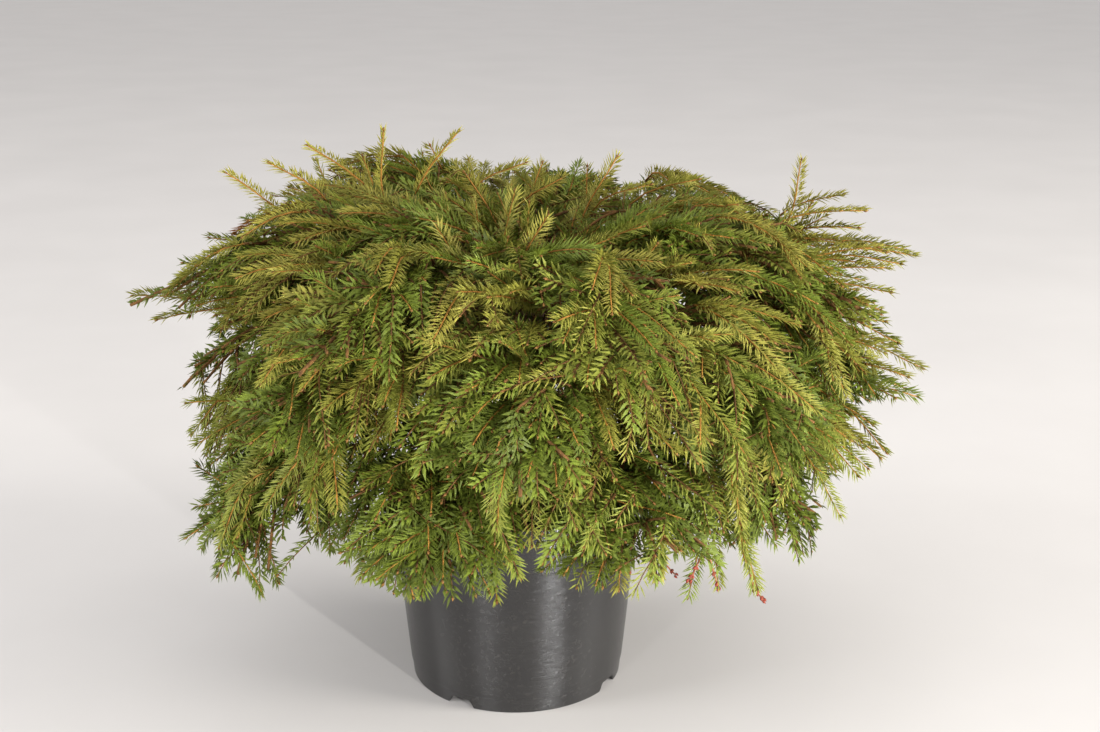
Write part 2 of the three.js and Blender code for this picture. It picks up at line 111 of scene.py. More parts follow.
BETWEEN = [0.0, 0.21, 0.43, 0.64, 0.86]  # places of more pairs along a stem
PLACES = 25  # along a stem, for measuring from it
OUTER_SHARES = [0, 0.04, 0.24, 0.46, 0.68, 0.85, 1]
OUTER_WIDTHS = [0.4, 0.5, 0.92, 1, 0.95, 0.66, 0.3]
END_REACH = 4  # beyond the end of a mass
# From the core of a mass to the tips of its shoots, and the share of its stem that they cover.
REACH = {
    "skirt": dict(side=14, over=4, under=4, last=1.0),
    "side": dict(side=14, over=0, under=2, last=0.98),
    "shoulder": dict(side=12, over=-14, under=2, last=0.93),
    "top": dict(side=6, over=-22, under=0, last=0.95),
}
LAST = {"foliage_side_8": 0.9, "foliage_shoulder_7": 0.86}  # of single masses
SUNNY = (-50, 60)  # limbs in these directions reach to their full length
TRIALS = dict(around=620, end=120)  # points tried on each mass, for the tips of shoots
SPACING = 26  # between the tips of neighbouring shoots, all over the crown
UNDERSIDE = 1.9  # how much wider that is on the underside and towards the trunk
SHADE = dict(level=0.62, spacing=42)  # a second layer of shoots inside, as a share of the way to the outline
OUTWARD = (0.15, 0.5)  # how much a hand of shoots points out of the crown, and not along it
TURN = (40 * DEG, 85 * DEG)  # most that a hand turns to one side of its limb, on the flanks and on the top
# Between the middles of hands, from there back to where they start, and how far back if wood is in the way.
HAND = dict(spacing=72, length=(60, 94), short=52)
SCATTER = 12  # how far tips stand out of the even surface, or fall short of it
SHOOT = (82, 112)  # length of a shoot
SHORTEST = 34  # of the shoots that reach for a place, and of those at the ends of wood
# A shoot leaves partly along its wood and partly towards its tip, a little upwards. The pull shapes its bend.
ARCH = dict(to_tip=0.62, along_wood=0.38, lift=0.2, pull=0.36)
NEAR = 26  # a bud this near to where a shoot would best start will do
BRANCHLET = 24  # or else a branchlet grows there, if it would be longer than this
PLACED = 8  # both of these, for the shoots that are placed one by one
BUD_PITCH = 18
TWIG_ANGLE = 62 * DEG  # most that a shoot turns away from the wood that bears it
FORK = dict(least=84, chance=0.1, angle=42 * DEG, length=36)  # side shoots on the longest shoots
# What speaks against a bud: a turn there, each use so far, and a turn that is too sharp. An end is better.
COST = dict(turn=0.5, use=0.03, sharp=2.5, end=0.3)
INNER_PITCH = 88  # along a branchlet, from one short inner shoot to the next
INNER_LENGTH = (44, 76)
NEEDLE = dict(
    length=13.2, width=1.35, height=1.0, comb=0.33, top=0.48, lean=60 * DEG, tip_lean=32 * DEG,
    roll=0.7, raised=(18, 66), scatter=15, top_size=0.88,
)
OLD_NEEDLES = 0.27  # of the needles on older wood that are left
INNER_NEEDLES = 0.64  # and on shoots in the shade
INNER_FRESH = 0.6  # how fresh shoots in the shade look, where the others have 1
FRESH_DENSITY, SHADED_DENSITY = 1.12, 0.86  # how close needles stand on shoots outside and in the shade
SHADE_WIDTH = 2.25  # deep inside the crown needles are this much broader
LAYERS = 25  # marks of shoots that a line of sight should meet on its way through the crown
VIEWS = dict(elevations=(4, 17, 38), step=12)  # degrees: where the lines of sight come from
GRID = dict(cell=8.0, size=130, height=250)  # of the marks in a view: mm, cells, and its middle
# Shoots that close gaps: the room round their tips, how far those lie back, and how much of a shoot counts.
CLOSING = dict(room=17, back=8, length=76)
MINGLE = 12  # how far shoots of neighbouring masses run in among each other
# Bare dead twigs on the inner part of each limb.
DEAD = dict(
    tiers=("skirt", "side", "shoulder"), part=(0.08, 0.62), ceiling=465, pitch=8,
    length=(35, 85), radius=(1.2, 0.8),
)
SHOOT_RADIUS = (1.1, 0.65)
HEIGHTS = (150, 500)  # between these the needles turn from green to yellow
MOST_TRIANGLES = 190000  # in one piece
SMALL, LARGE = 99991, 999983  # primes that seeds are kept under
FAR = 1e9

# ---- places read from the photograph

CAMERA = (0.035, -1.453, 0.767)  # where it was taken from, in metres
TILT = 16.9  # degrees down
LENS, SENSOR = 50, 36
PHOTO = (1100, 732)  # pixels across and down


def seen_at(across, down, y):
    """The place in whole mm that shows at a pixel of the photograph, at a depth y."""
    focal = round(PHOTO[0] * LENS / SENSOR)
    slope = (down - PHOTO[1] / 2) / focal
    c, s = math.cos(math.radians(TILT)), math.sin(math.radians(TILT))
    away = y * MM - CAMERA[1]
    drop = away * (slope * c + s) / (c - slope * s)
    sideways = (across - PHOTO[0] / 2) * (away * c + drop * s) / focal
    return round((CAMERA[0] + sideways) / MM), y, round((CAMERA[2] - drop) / MM)


# Shoots that stand out of the crown: the pixel and the depth of the tip, then of the place it grows from.
LEADERS = [
    # top left
    (307, 145, -20, 370, 190, 20), (270, 163, -30, 330, 205, 0), (227, 173, -50, 300, 222, 0),
    (383, 131, -20, 384, 200, 0), (363, 156, 50, 384, 215, 30), (317, 160, 60, 340, 220, 40),
    # top
    (459, 131, -30, 415, 195, 0), (526, 163, 40, 470, 195, 60), (542, 163, 80, 528, 215, 80),
    (563, 177, 20, 510, 220, 50), (587, 167, 100, 580, 225, 100), (617, 157, 0, 580, 230, 20),
    (698, 179, 20, 630, 205, 40), (650, 185, -20, 590, 215, 20),
    # top right
    (801, 160, 0, 788, 222, 20), (842, 195, 20, 780, 215, 30), (864, 211, -20, 780, 222, 0),
    (847, 241, -30, 770, 250, 0),
    # right
    (915, 255, 0, 820, 250, 0), (889, 268, -50, 800, 270, -30), (890, 292, 20, 800, 290, 20),
    (872, 302, -70, 790, 300, -40), (885, 322, -80, 800, 312, -50), (898, 343, -50, 815, 318, -30),
    (922, 368, -80, 832, 338, -50), (907, 377, -130, 820, 352, -80), (917, 397, -100, 830, 370, -70),
    (886, 452, -140, 820, 390, -100), (858, 475, -170, 795, 415, -130), (840, 515, -160, 790, 440, -140),
    (866, 250, 30, 780, 240, 50), (858, 228, 0, 780, 232, 30), (868, 264, -40, 782, 262, -20),
    (884, 352, -100, 800, 325, -80), (872, 425, -130, 805, 375, -100), (862, 448, -120, 800, 395, -100),
    (850, 440, -180, 780, 400, -150), (868, 468, -150, 810, 425, -120), (846, 262, 60, 765, 255, 60),
    (878, 247, -50, 800, 262, -30), (856, 290, 50, 775, 285, 50), (880, 310, 20, 795, 300, 20),
    (868, 345, 0, 790, 325, 20), (890, 382, -40, 805, 350, -30), (868, 400, -80, 795, 360, -60),
    (850, 415, -100, 785, 370, -80), (835, 470, -160, 785, 415, -120), (742, 528, -220, 722, 455, -180),
    (765, 520, -200, 735, 455, -160), (900, 264, 20, 818, 262, 40), (862, 280, 80, 785, 272, 70),
    (895, 347, -20, 812, 330, 0), (905, 388, -30, 822, 360, -20), (880, 457, -130, 820, 408, -100),
    (862, 442, -140, 800, 395, -100), (812, 203, 40, 772, 262, 50), (826, 216, 20, 765, 252, 30),
    (745, 562, -230, 728, 490, -200), (757, 588, -200, 735, 505, -180), (905, 250, 30, 828, 246, 40),
    # left
    (210, 238, -30, 285, 250, 0), (183, 263, -20, 265, 272, 0), (133, 296, -10, 225, 297, 0),
    (157, 320, -40, 235, 305, -20), (187, 403, -100, 265, 400, -80), (197, 445, -120, 262, 408, -90),
    # lower left hand
    (198, 467, -130, 255, 500, -120), (197, 507, -130, 255, 502, -120), (187, 537, -150, 253, 506, -120),
    (218, 575, -170, 258, 507, -130), (277, 582, -180, 258, 510, -130), (360, 577, -220, 385, 500, -180),
    (413, 597, -240, 400, 520, -200), (330, 547, -200, 372, 480, -170),
    # low, most of them at the right
    (753, 590, -180, 738, 505, -150), (745, 560, -200, 722, 480, -170), (730, 545, -190, 712, 470, -160),
    (705, 525, -210, 690, 450, -180), (350, 555, -210, 352, 480, -180), (775, 545, -190, 735, 480, -160),
    (718, 586, -200, 705, 520, -170), (497, 600, -250, 490, 520, -220), (688, 597, -200, 698, 545, -180),
]

# Spots where light shows through the ragged edge of the crown. No shoot has its tip near a line through one.
OPEN_SPOTS = [
    (198, 350), (212, 388), (240, 345), (286, 545), (302, 562), (246, 565),
    (655, 572), (650, 535), (682, 585), (800, 528), (775, 552), (826, 508),
    (566, 186), (616, 188), (642, 181), (196, 262), (210, 250),
]
OPEN_DEPTHS = (-280, 160)  # from in front of the crown to behind its middle
OPEN_LINES = [[seen_at(*spot, y) for y in OPEN_DEPTHS] for spot in OPEN_SPOTS]
OPEN_ROOM = 21

# Places that shaded shoots fill: low in the front of the crown, over its middle, and at its right shoulder.
LOW_SPOTS = [
    (405, 405), (420, 438), (385, 430), (352, 455), (330, 470), (547, 408), (632, 438), (655, 445),
    (678, 450), (690, 522), (330, 550), (375, 562), (705, 532), (725, 540), (365, 510),
]
LOW_DEPTHS = (-210, -120)
FILLED = [seen_at(*spot, y) for spot in LOW_SPOTS for y in LOW_DEPTHS]
FILLED += [(25, 20, 462), (-25, 15, 460), (0, -30, 462), (30, 60, 458)]
FILLED += [(-20, 70, 455), (0, 110, 450), (40, -20, 460), (-40, -25, 458)]
FILLED += [seen_at(682, 305, 0), seen_at(690, 300, 60), seen_at(680, 312, -60)]

# Shoots that have dried to a reddish brown have their tips near these places.
DRY_PLACES = [seen_at(283, 184, 20), seen_at(296, 190, 20), seen_at(243, 212, -20)]

# Bare twigs that hang from under the crown, through these pixels and depths.
BARE_TWIGS = [
    [(663, 530, -170), (650, 545, -180), (662, 562, -180), (676, 575, -180)],
    [(705, 540, -190), (700, 560, -200), (690, 580, -200)],
    [(705, 540, -190), (711, 565, -200), (718, 588, -200)],
    [(750, 575, -180), (754, 590, -180), (764, 600, -180)],
    [(615, 520, -190), (622, 550, -200), (628, 572, -200)],
    [(585, 500, -200), (582, 530, -210), (587, 548, -210)],
]


# ---- the seeded rule


def chance(a, b=0, c=0, d=0):
    """A repeatable number from 0 to 1 for four whole numbers, the same as in the CAD source."""
    m = 0xFFFFFFFF
    h = ((a + 1) * 0x9E3779B1 & m) ^ ((b + 1) * 0x85EBCA6B & m)
    h ^= ((c + 1) * 0xC2B2AE35 & m) ^ ((d + 1) * 0x27D4EB2F & m)
    h = (h ^ (h >> 15)) * 0x2C1B3C6D & m
    h = (h ^ (h >> 12)) * 0x297A2D39 & m
    return (h ^ (h >> 15)) / 2**32


def sway(a, b=0, c=0, d=0):
    """The same from -1 to 1."""
    return 2 * chance(a, b, c, d) - 1


def mix(a, b, t):
    return a + (b - a) * t


def unit(v):
    return v / np.linalg.norm(v, axis=-1, keepdims=True)


def polar(azimuth, radius, z):
    return np.array([radius * math.cos(azimuth), radius * math.sin(azimuth), z])


def frames(points, along):
    """Two directions across each line: side is level, and over points up and away from the trunk."""
    away = np.array(points, float)
    away[..., 2] = 0
    away = unit(away + 1e-9)
    away[..., 2] = 1
    side = unit(np.cross(away, along))
    return side, np.cross(along, side)


class Curve:
    """A line through points, with places given as shares of its length."""

    def __init__(self, points):
        self.points = np.asarray(points, float)
        steps = np.linalg.norm(np.diff(self.points, axis=0), axis=1)
        self.run = np.concatenate([[0], np.cumsum(steps)])
        self.length = self.run[-1]

    def at(self, share):
        distance = np.clip(share, 0, 1) * self.length
        return np.stack([np.interp(distance, self.run, self.points[:, k]) for k in range(3)], axis=-1)

    def along(self, share):
        share = np.asarray(share, float)
        half = 0.5 / (len(self.points) - 1)
        low = np.clip(share - half, 0, 1 - 2 * half)
        return unit(self.at(low + 2 * half) - self.at(low))


def bezier(p0, p1, p2, p3, steps=96):
    t = np.linspace(0, 1, steps + 1)[:, None]
    return Curve((1 - t) ** 3 * p0 + 3 * (1 - t) ** 2 * t * p1 + 3 * (1 - t) * t**2 * p2 + t**3 * p3)


def trunk_point(z):
    t = (z - SOIL_TOP) / (TRUNK["top"] - SOIL_TOP)
    return np.array([TRUNK["lean_x"] * t + TRUNK["bow"] * math.sin(math.pi * t), TRUNK["lean_y"] * t, z])


def trunk_radius(z):
    t = (z - SOIL_TOP) / (TRUNK["top"] - SOIL_TOP)
    flare = math.exp((SOIL_TOP - z) / (TRUNK["flare_height"] / 2))
    return mix(TRUNK["radius"], TRUNK["tip"], t) + (TRUNK["flare"] - TRUNK["radius"]) * flare


def plan_limbs():
    """Each limb from the trunk to its tip: a bough as far as the split, and from there the stem of a mass."""
    limbs = []
    for t, tier in enumerate(TIERS):
        count = len(tier["azimuths"])
        for i, azimuth in enumerate(tier["azimuths"]):
            place = (i * tier["stride"]) % count / (count - 1)
            start = trunk_point(mix(*tier["start"], place))
            swing = SWING * sway(t, i, 4)
            end = polar(azimuth * DEG, tier["reaches"][i], tier["tips"][i])
            pull = PULL * np.linalg.norm(end - start)

            def heading(turn, slope):
                slope = slope * DEG
                return polar((azimuth + turn) * DEG, pull * math.cos(slope), pull * math.sin(slope))

            leaving, arriving = heading(-swing, tier["rise"]), heading(swing, tier["fall"])
            curve = bezier(start, start + leaving, end - arriving, end)
            name = f"{tier['name']}_{i + 1}"
            names = dict(bough="bough_" + name, mass="foliage_" + name)
            limbs.append(dict(tier, key=10 * t + i, curve=curve, **names))
    tip = trunk_point(TRUNK["top"])
    tip[2] += GAP
    azimuth, reach, height = LEADER["azimuth"] * DEG, LEADER["reach"], LEADER["tip"]
    half_way, end = polar(azimuth, reach / 2, height), polar(azimuth, reach, height)
    curve = bezier(tip, tip + [0, 0, LEADER["stand"]], half_way, end)
    limbs.append(dict(LEADER, key=90, split=0, bough=None, mass="foliage_leader", curve=curve, radius=0))
    for limb in limbs:
        add_stem(limb)
    return limbs


def add_stem(limb):
    """The stem of a limb's mass, and places on the part that shoots cover, with the directions there."""
    start = limb["split"] + (GAP / limb["curve"].length if limb["bough"] else 0)
    limb["stem"] = Curve(limb["curve"].at(np.linspace(start, 1, 25)))
    limb["reach"] = REACH[limb.get("name", "top")]
    x, y, _ = limb["curve"].points[-1]
    sunny = SUNNY[0] < math.degrees(math.atan2(y, x)) < SUNNY[1]
    last = 1 if sunny else LAST.get(limb["mass"], limb["reach"]["last"])
    limb["middle"] = Curve(limb["stem"].at(np.linspace(0, last, PLACES)))
    shares = np.linspace(0, 1, PLACES)
    middle, along = limb["middle"].at(shares), limb["middle"].along(shares)
    limb["places"] = (middle, along, *frames(middle, along))


def wood_pieces():
    """Where straight pieces of the boughs and the trunk start and end, and how far shoots keep from each."""
    lines = [(limb["curve"].at(np.linspace(0, limb["split"], 5)), limb["radius"] + 2) for limb in BOUGHS]
    lines.append((np.array([trunk_point(z) for z in np.linspace(TRUNK["foot"], TRUNK["top"], 7)]), 10))
    starts = np.concatenate([line[:-1] for line, _ in lines])
    ends = np.concatenate([line[1:] for line, _ in lines])
    return starts, ends, np.concatenate([np.full(len(line) - 1, room) for line, room in lines])


LIMBS = plan_limbs()
BOUGHS = [limb for limb in LIMBS if limb["bough"]]
WOOD_A, WOOD_B, WOOD_ROOM = wood_pieces()
STEMS = np.array([limb["stem"].at(np.array([0, *NODES, 1])) for limb in LIMBS])


def distances(points, a, b):
    """From each point to each straight piece from a to b."""
    p = points[:, None, :] - a[None]
    d = (b - a)[None]
    t = np.clip((p * d).sum(-1) / (d * d).sum(-1), 0, 1)
    return np.linalg.norm(p - d * t[..., None], axis=-1)


def to_stems(points):
    """From each point to the stem of each mass."""
    flat = distances(points, STEMS[:, :-1].reshape(-1, 3), STEMS[:, 1:].reshape(-1, 3))
    return flat.reshape(len(points), len(LIMBS), -1).min(axis=2)


def nearest_mass(point):
    """The number of the mass whose stem is nearest."""
    return int(to_stems(point[None])[0].argmin())


def clear(points):
    """True for each point that is clear of the wood and the pot."""
    room = 4
    near_wood = (distances(points, WOOD_A, WOOD_B) < WOOD_ROOM).any(axis=1)
    height = points[:, 2]
    off_pot = (height > POT["height"] + room) | (np.hypot(points[:, 0], points[:, 1]) > POT["rim"] + room)
    return ~near_wood & off_pot & (height > room)


def in_space(points, index, margin):
    """True for each point that keeps to a mass's own space, and clear of the wood and the pot."""
    apart = to_stems(points)
    own = apart[:, index].copy()
    apart[:, index] = FAR
    return (own + margin < apart.min(axis=1)) & clear(points)


def outer_radii(limb, share):
    """Half the width of a mass at a share of its stem, and its depth over the stem and under it."""
    width = np.interp(share, OUTER_SHARES, OUTER_WIDTHS)
    more, least = limb["reach"], 8
    out = np.maximum(CORE_OUT * width + more["over"], least)
    return limb["core"] * width + more["side"], out, CORE_UNDER * width + more["under"]


def oval(sideways, upwards, radii):
    """The square of how far out a point is in an oval that is flatter above than below: 1 is on its edge."""
    wide, out, under = radii
    return (sideways / wide) ** 2 + (upwards / np.where(upwards > 0, out, under)) ** 2


def outline_share(points, index):
    """How far out each point is in a mass: 1 is on its outline, and less is inside."""
    behind, outside = -12, 9.0  # further behind the start of the stem, a point counts as outside
    limb = LIMBS[index]
    middle, along, side, over = limb["places"]
    apart = points[:, None] - middle[None]
    nearest = np.linalg.norm(apart, axis=2).argmin(axis=1)
    offset = apart[np.arange(len(points)), nearest]
    a = (offset * along[nearest]).sum(axis=1)
    s = (offset * side[nearest]).sum(axis=1)
    o = (offset * over[nearest]).sum(axis=1)
    beyond = np.where(nearest == PLACES - 1, np.maximum(a, 0), 0)
    share = np.sqrt(oval(s, o, outer_radii(limb, nearest / (PLACES - 1))) + (beyond / END_REACH) ** 2)
    return np.where((nearest == 0) & (a < behind), outside, share)


def mass_surface(limb, level, rng):
    """Points all round a layer of one mass and over its end, with the way that each one faces."""
    n, m = TRIALS["around"], TRIALS["end"]
    share, angle = rng.random(n), rng.random(n) * 2 * math.pi
    middle, along = limb["middle"].at(share), limb["middle"].along(share)
    side, over = frames(middle, along)
    c, s = np.cos(angle), np.sin(angle)
    radius = 1 / np.sqrt(oval(c, s, outer_radii(limb, share)))
    spoke = side * c[:, None] + over * s[:, None]
    around = middle + spoke * radius[:, None] * level
    end, ahead = limb["middle"].at(1.0), limb["middle"].along(1.0)
    angle, slope = rng.random(m) * 2 * math.pi, np.arcsin(rng.random(m))
    c, s, forward = np.cos(slope) * np.cos(angle), np.cos(slope) * np.sin(angle), np.sin(slope)
    radius = 1 / np.sqrt(oval(c, s, outer_radii(limb, 1.0)) + (forward / END_REACH) ** 2)
    spokes = np.stack([c, s, forward], axis=-1) @ np.stack([*frames(end, ahead), ahead])
    return np.concatenate([around, end + spokes * radius[:, None] * level]), np.concatenate([spoke, spokes])


def crown_surface(level, rng):
    """Points all over a layer of the crown, with the way that each one faces. Level 1 is its outline."""
    points, facing = [], []
    for index, limb in enumerate(LIMBS):
        places, ways = mass_surface(limb, level, rng)
        bare = clear(places)
        for other in range(len(LIMBS)):
            if other != index:
                bare &= outline_share(places, other) > 0.97 * level
        points.append(places[bare])
        facing.append(ways[bare])
    return np.concatenate(points), np.concatenate(facing)


def in_the_open(points):
    """Which of the points are near one of the open lines."""
    near = np.zeros(len(points), bool)
    for first, last in np.array(OPEN_LINES, float):
        way = last - first
        part = np.clip((points - first) @ way / (way @ way), 0, 1)
        near |= np.linalg.norm(points - first - part[:, None] * way, axis=1) < OPEN_ROOM
    return near


def spread_tips(level, spacing, kept, seed):
    """Places for the tips of shoots, evenly spread over a layer of the crown and apart from those kept."""
    rng = np.random.default_rng(seed)
    points, facing = crown_surface(level, rng)
    outward = (facing[:, :2] * unit(points[:, :2])).sum(axis=1)
    hidden = (facing[:, 2] < -0.25) & (outward < 0.5) | (outward < -0.35) & (facing[:, 2] < 0.3)
    room = np.where(hidden, spacing * UNDERSIDE, spacing)
    chosen = []
    for k in rng.permutation(len(points)):
        if (np.linalg.norm(kept - points[k], axis=1) > room[k]).all():
            kept = np.vstack([kept, points[k]])
            chosen.append(k)
    chosen = np.array(chosen)
    stand = SCATTER * rng.uniform(-1, 0.8, len(chosen))[:, None]
    tips = points[chosen] + facing[chosen] * stand
    ways = shoot_ways(tips, facing[chosen], rng)
    good = clear(tips) & ~in_the_open(tips)
    return tips[good], ways[good]


def shoot_ways(tips, facing, rng):
    """The way that each shoot points: partly out of the crown, and partly along the limb, to one side."""
    ways = []
    masses = to_stems(tips).argmin(axis=1)
    for tip, out, index in zip(tips, facing, masses):
        middle, along, _, _ = LIMBS[index]["places"]
        run = along[np.linalg.norm(middle - tip, axis=1).argmin()]
        turn = rng.uniform(-1, 1) * mix(*TURN, max(out[2], 0))
        run = unit(run - out * (run @ out) + 1e-6)
        run = run * math.cos(turn) + np.cross(out, run) * math.sin(turn)
        part = rng.uniform(*OUTWARD)
        ways.append(unit(out * part + run * (1 - part) + np.array([0, 0, 0.1])))
    return np.array(ways)


def hand_starts(tips, ways, seed):
    """Where shoots start. They grow in hands: those of one hand spread out from one place like fingers."""
    rng = np.random.default_rng(seed)
    masses = to_stems(tips).argmin(axis=1)
    middles = []
    for k in rng.permutation(len(tips)):
        rivals = [m for m in middles if masses[m] == masses[k]]
        if not rivals or (np.linalg.norm(tips[rivals] - tips[k], axis=1) > HAND["spacing"]).all():
            middles.append(k)
    middles = np.array(middles)
    starts = tips[middles] - ways[middles] * rng.uniform(*HAND["length"], len(middles))[:, None]
    blocked = ~clear(starts)
    starts[blocked] = (tips[middles] - ways[middles] * HAND["short"])[blocked]
    apart = np.linalg.norm(tips[:, None] - tips[middles][None], axis=2)
    apart[masses[:, None] != masses[middles][None]] = FAR
    return starts[apart.argmin(axis=1)]


def branch_off(along, point, angle, hand, lift):
    """The way of a twig that leaves wood at an angle, to its left or right, and lifted out of the level."""
    side, over = frames(point, along)
    return unit(along * math.cos(angle) + side * hand * math.sin(angle) + over * lift)


def grow(start, direction, length, droop, pitch=11):
    """A twig that bends towards the ground as it goes."""
    steps = max(4, round(length / pitch))
    points = [np.array(start, float)]
    heading = unit(np.array(direction, float))
    step = length / steps
    for _ in range(steps):
        heading[2] -= droop * step * math.hypot(heading[0], heading[1])
        heading = unit(heading)
        points.append(points[-1] + heading * step)
    return Curve(points)


def arch(start, heading, end, turn, steps=9):
    """A shoot from the wood to the place of its tip: it leaves along the wood, and bends down at the end."""
    span = end - start
    length = np.linalg.norm(span)
    way = span / length
    level = math.hypot(way[0], way[1])
    lift = np.array([0, 0, ARCH["lift"] * level])
    first = unit(ARCH["to_tip"] * way + ARCH["along_wood"] * heading + lift)
    last = unit(way + np.array([0, 0, turn * level]))
    near, far = start + first * length * ARCH["pull"], end - last * length * ARCH["pull"]
    return bezier(start, near, far, end, steps)


def shortened(curve, index, margin, keep):
    """The curve up to where it leaves the mass's space, or None if less than keep is left."""
    free = in_space(curve.points[2:], index, margin) & (outline_share(curve.points[2:], index) < 1.03)
    if free.all():
        return curve
    last = 2 + int(np.argmin(free))
    if curve.run[last - 1] < keep:
        return None
    return Curve(curve.points[:last])


def core_radius(limb, share, side_part, over_part):
    """From the stem to the edge of the core of a mass, in a direction across the stem."""
    width = np.interp(share, CORE_SHARES, CORE_WIDTHS)
    deep = CORE_OUT if over_part > 0 else CORE_UNDER
    return 1 / math.sqrt((side_part / (limb["core"] * width)) ** 2 + (over_part / (deep * width)) ** 2 + 1e-9)


class Growth:
    """All that grows: wood is stems and branchlets, and shoots carry the year's needles."""

    def __init__(self):
        self.wood = []
        self.shoots = []
        self.buds = {index: [] for index in range(len(LIMBS))}  # places on the wood where shoots can start

    def add_wood(self, index, curve, radii, key, first=0.2):
        """Wood bears buds along it, most of all at its end."""
        number = len(self.wood)
        self.wood.append(dict(mass=index, curve=curve, radii=radii, key=key, shoots=0))
        places = np.arange(first * curve.length, curve.length - 12, BUD_PITCH) / curve.length
        for place in [*places, 1.0]:
            bud = dict(at=curve.at(place), along=curve.along(place), wood=number, end=place == 1.0, uses=0)
            self.buds[index].append(bud)

    def add_shoot(self, index, curve, key, shade=False):
        self.shoots.append(dict(mass=index, curve=curve, key=key, shade=shade))


def grow_branchlet(growth, index, share, angle, hand, lift, seed):
    """A branchlet from a share of a mass's stem to the edge of the core, if there is room for it."""
    limb = LIMBS[index]
    stem = limb["stem"]
    start, along = stem.at(share), stem.along(share)
    direction = branch_off(along, start, angle, hand, lift)
    side, over = frames(start, along)
    inside = core_radius(limb, share, direction @ side, direction @ over)
    to_end = (CORE_SHARES[-1] + 0.06 - share) * stem.length / max(0.2, direction @ along)
    inside = max(0, min(inside, to_end))
    line = shortened(grow(start, direction, inside * 0.92, DROOP), index, 4, 30)
    if line is not None:
        growth.add_wood(index, line, (2.0, 1.2), seed)


def grow_wood(growth, index):
    """The branchlets of a mass: the source's pairs and standing twigs, and more pairs between them."""
    key = LIMBS[index]["key"]
    growth.add_wood(index, LIMBS[index]["stem"], (STEM_RADIUS, 1.6), key * 577 + 3)
    for n, node in enumerate(NODES):
        for m, hand in enumerate((-1, 1)):
            draw = 2 * n + m
            angle = mix(*ANGLES, node) * (1 + SPREAD["angle"] * sway(key, draw, 5))
            lift = LIFTS[n] + SPREAD["lift"] * sway(key, draw, 6)
            grow_branchlet(growth, index, node, angle, hand, lift, key * 613 + draw)
        for k in range(STANDING[n]):
            turn = (-1 if k else 1) * STANDING_TURN[0] + STANDING_TURN[1] * sway(key, n, k, 8)
            lift = math.tan(STANDING_ANGLE * (1 + SPREAD["standing"] * sway(key, n, k, 9)))
            grow_branchlet(growth, index, node, turn, 1, lift, key * 613 + 40 + 4 * n + k)
    for n, node in enumerate(BETWEEN):
        for m, hand in enumerate((-1, 1)):
            draw = 20 + 2 * n + m
            angle = mix(*ANGLES, node) * (1.05 + SPREAD["angle"] * sway(key, draw, 5))
            lift = (-0.12 if n % 2 else 0.3) + 0.2 * sway(key, draw, 6)
            grow_branchlet(growth, index, node, angle, hand, lift, key * 613 + 80 + draw)


def best_bud(growth, index, place, tip, scale):
    """The bud that best suits a shoot from near a place to its tip, and how far it is from that place."""
    buds = growth.buds[index]
    at = np.array([b["at"] for b in buds])
    along = np.array([b["along"] for b in buds])
    used = np.array([b["uses"] for b in buds])
    ends = np.array([b["end"] for b in buds])
    apart = np.linalg.norm(at - place, axis=1)
    turned = np.arccos(np.clip((unit(tip - at + 1e-6) * along).sum(axis=1), -1, 1))
    cost = apart / scale + COST["turn"] * turned + COST["use"] * used**2 - COST["end"] * ends
    cost += np.where(turned > TWIG_ANGLE, COST["sharp"], 0)
    best = int(cost.argmin())
    return buds[best], apart[best]


def held_in(place, index):
    """The place, or where a line from it to the stem of a mass comes well inside the outline."""
    share = outline_share(place[None], index)[0]
    if share < 0.9:
        return place
    middle = LIMBS[index]["places"][0]
    nearest = middle[np.linalg.norm(middle - place, axis=1).argmin()]
    return nearest + (place - nearest) * 0.85 / min(share, 4)


def reach_for(growth, index, tip, start, key, shade, placed=False):
    """Grows a shoot to the place of its tip, from the bud that suits it best or from a new branchlet."""
    wanted = mix(*SHOOT, chance(key % SMALL, 1)) * (0.8 if shade else 1)
    place = start if placed else held_in(tip - unit(tip - start) * wanted, index)
    bud, apart = best_bud(growth, index, place, tip, 22)
    if apart > (PLACED if placed else NEAR):
        bearer, _ = best_bud(growth, index, place, place, 20 if placed else 45)
        if np.linalg.norm(place - bearer["at"]) > (PLACED if placed else BRANCHLET):
            bearer["uses"] += 1
            line = arch(bearer["at"], bearer["along"], place, -0.05, 7)
            growth.add_wood(index, line, (1.6, 1.15), key % LARGE + 17, first=0.4)
            bud = growth.buds[index][-1]
    if np.linalg.norm(tip - bud["at"]) < SHORTEST:
        return
    bud["uses"] += 1
    growth.wood[bud["wood"]]["shoots"] += bud["end"]
    turn = -0.1 - (0.05 if placed else 0.3) * chance(key % SMALL, 3)
    growth.add_shoot(index, arch(bud["at"], bud["along"], tip, turn), key, shade)


def grow_inner(growth, number):
    """Short shoots in the shade, in turn to the left and right of a branchlet."""
    twig = growth.wood[number]
    index, curve, key = twig["mass"], twig["curve"], twig["key"]
    here, n = 0.28 * curve.length, 0
    while here < curve.length - 8:
        at, along = curve.at(here / curve.length), curve.along(here / curve.length)
        seed = (key * 131 + n * 17) % LARGE
        size = mix(*INNER_LENGTH, chance(seed, 3))
        angle, lift = (48 + 8 * sway(seed, 1)) * DEG, 0.05 + 0.3 * sway(seed, 2)
        way = branch_off(along, at, angle, 1 if n % 2 else -1, lift)
        line = shortened(grow(at, way, size, 0.005), index, -MINGLE, 32)
        if line is not None:
            growth.add_shoot(index, line, seed, True)
        here += INNER_PITCH * (1 + 0.25 * sway(seed, 4))
        n += 1


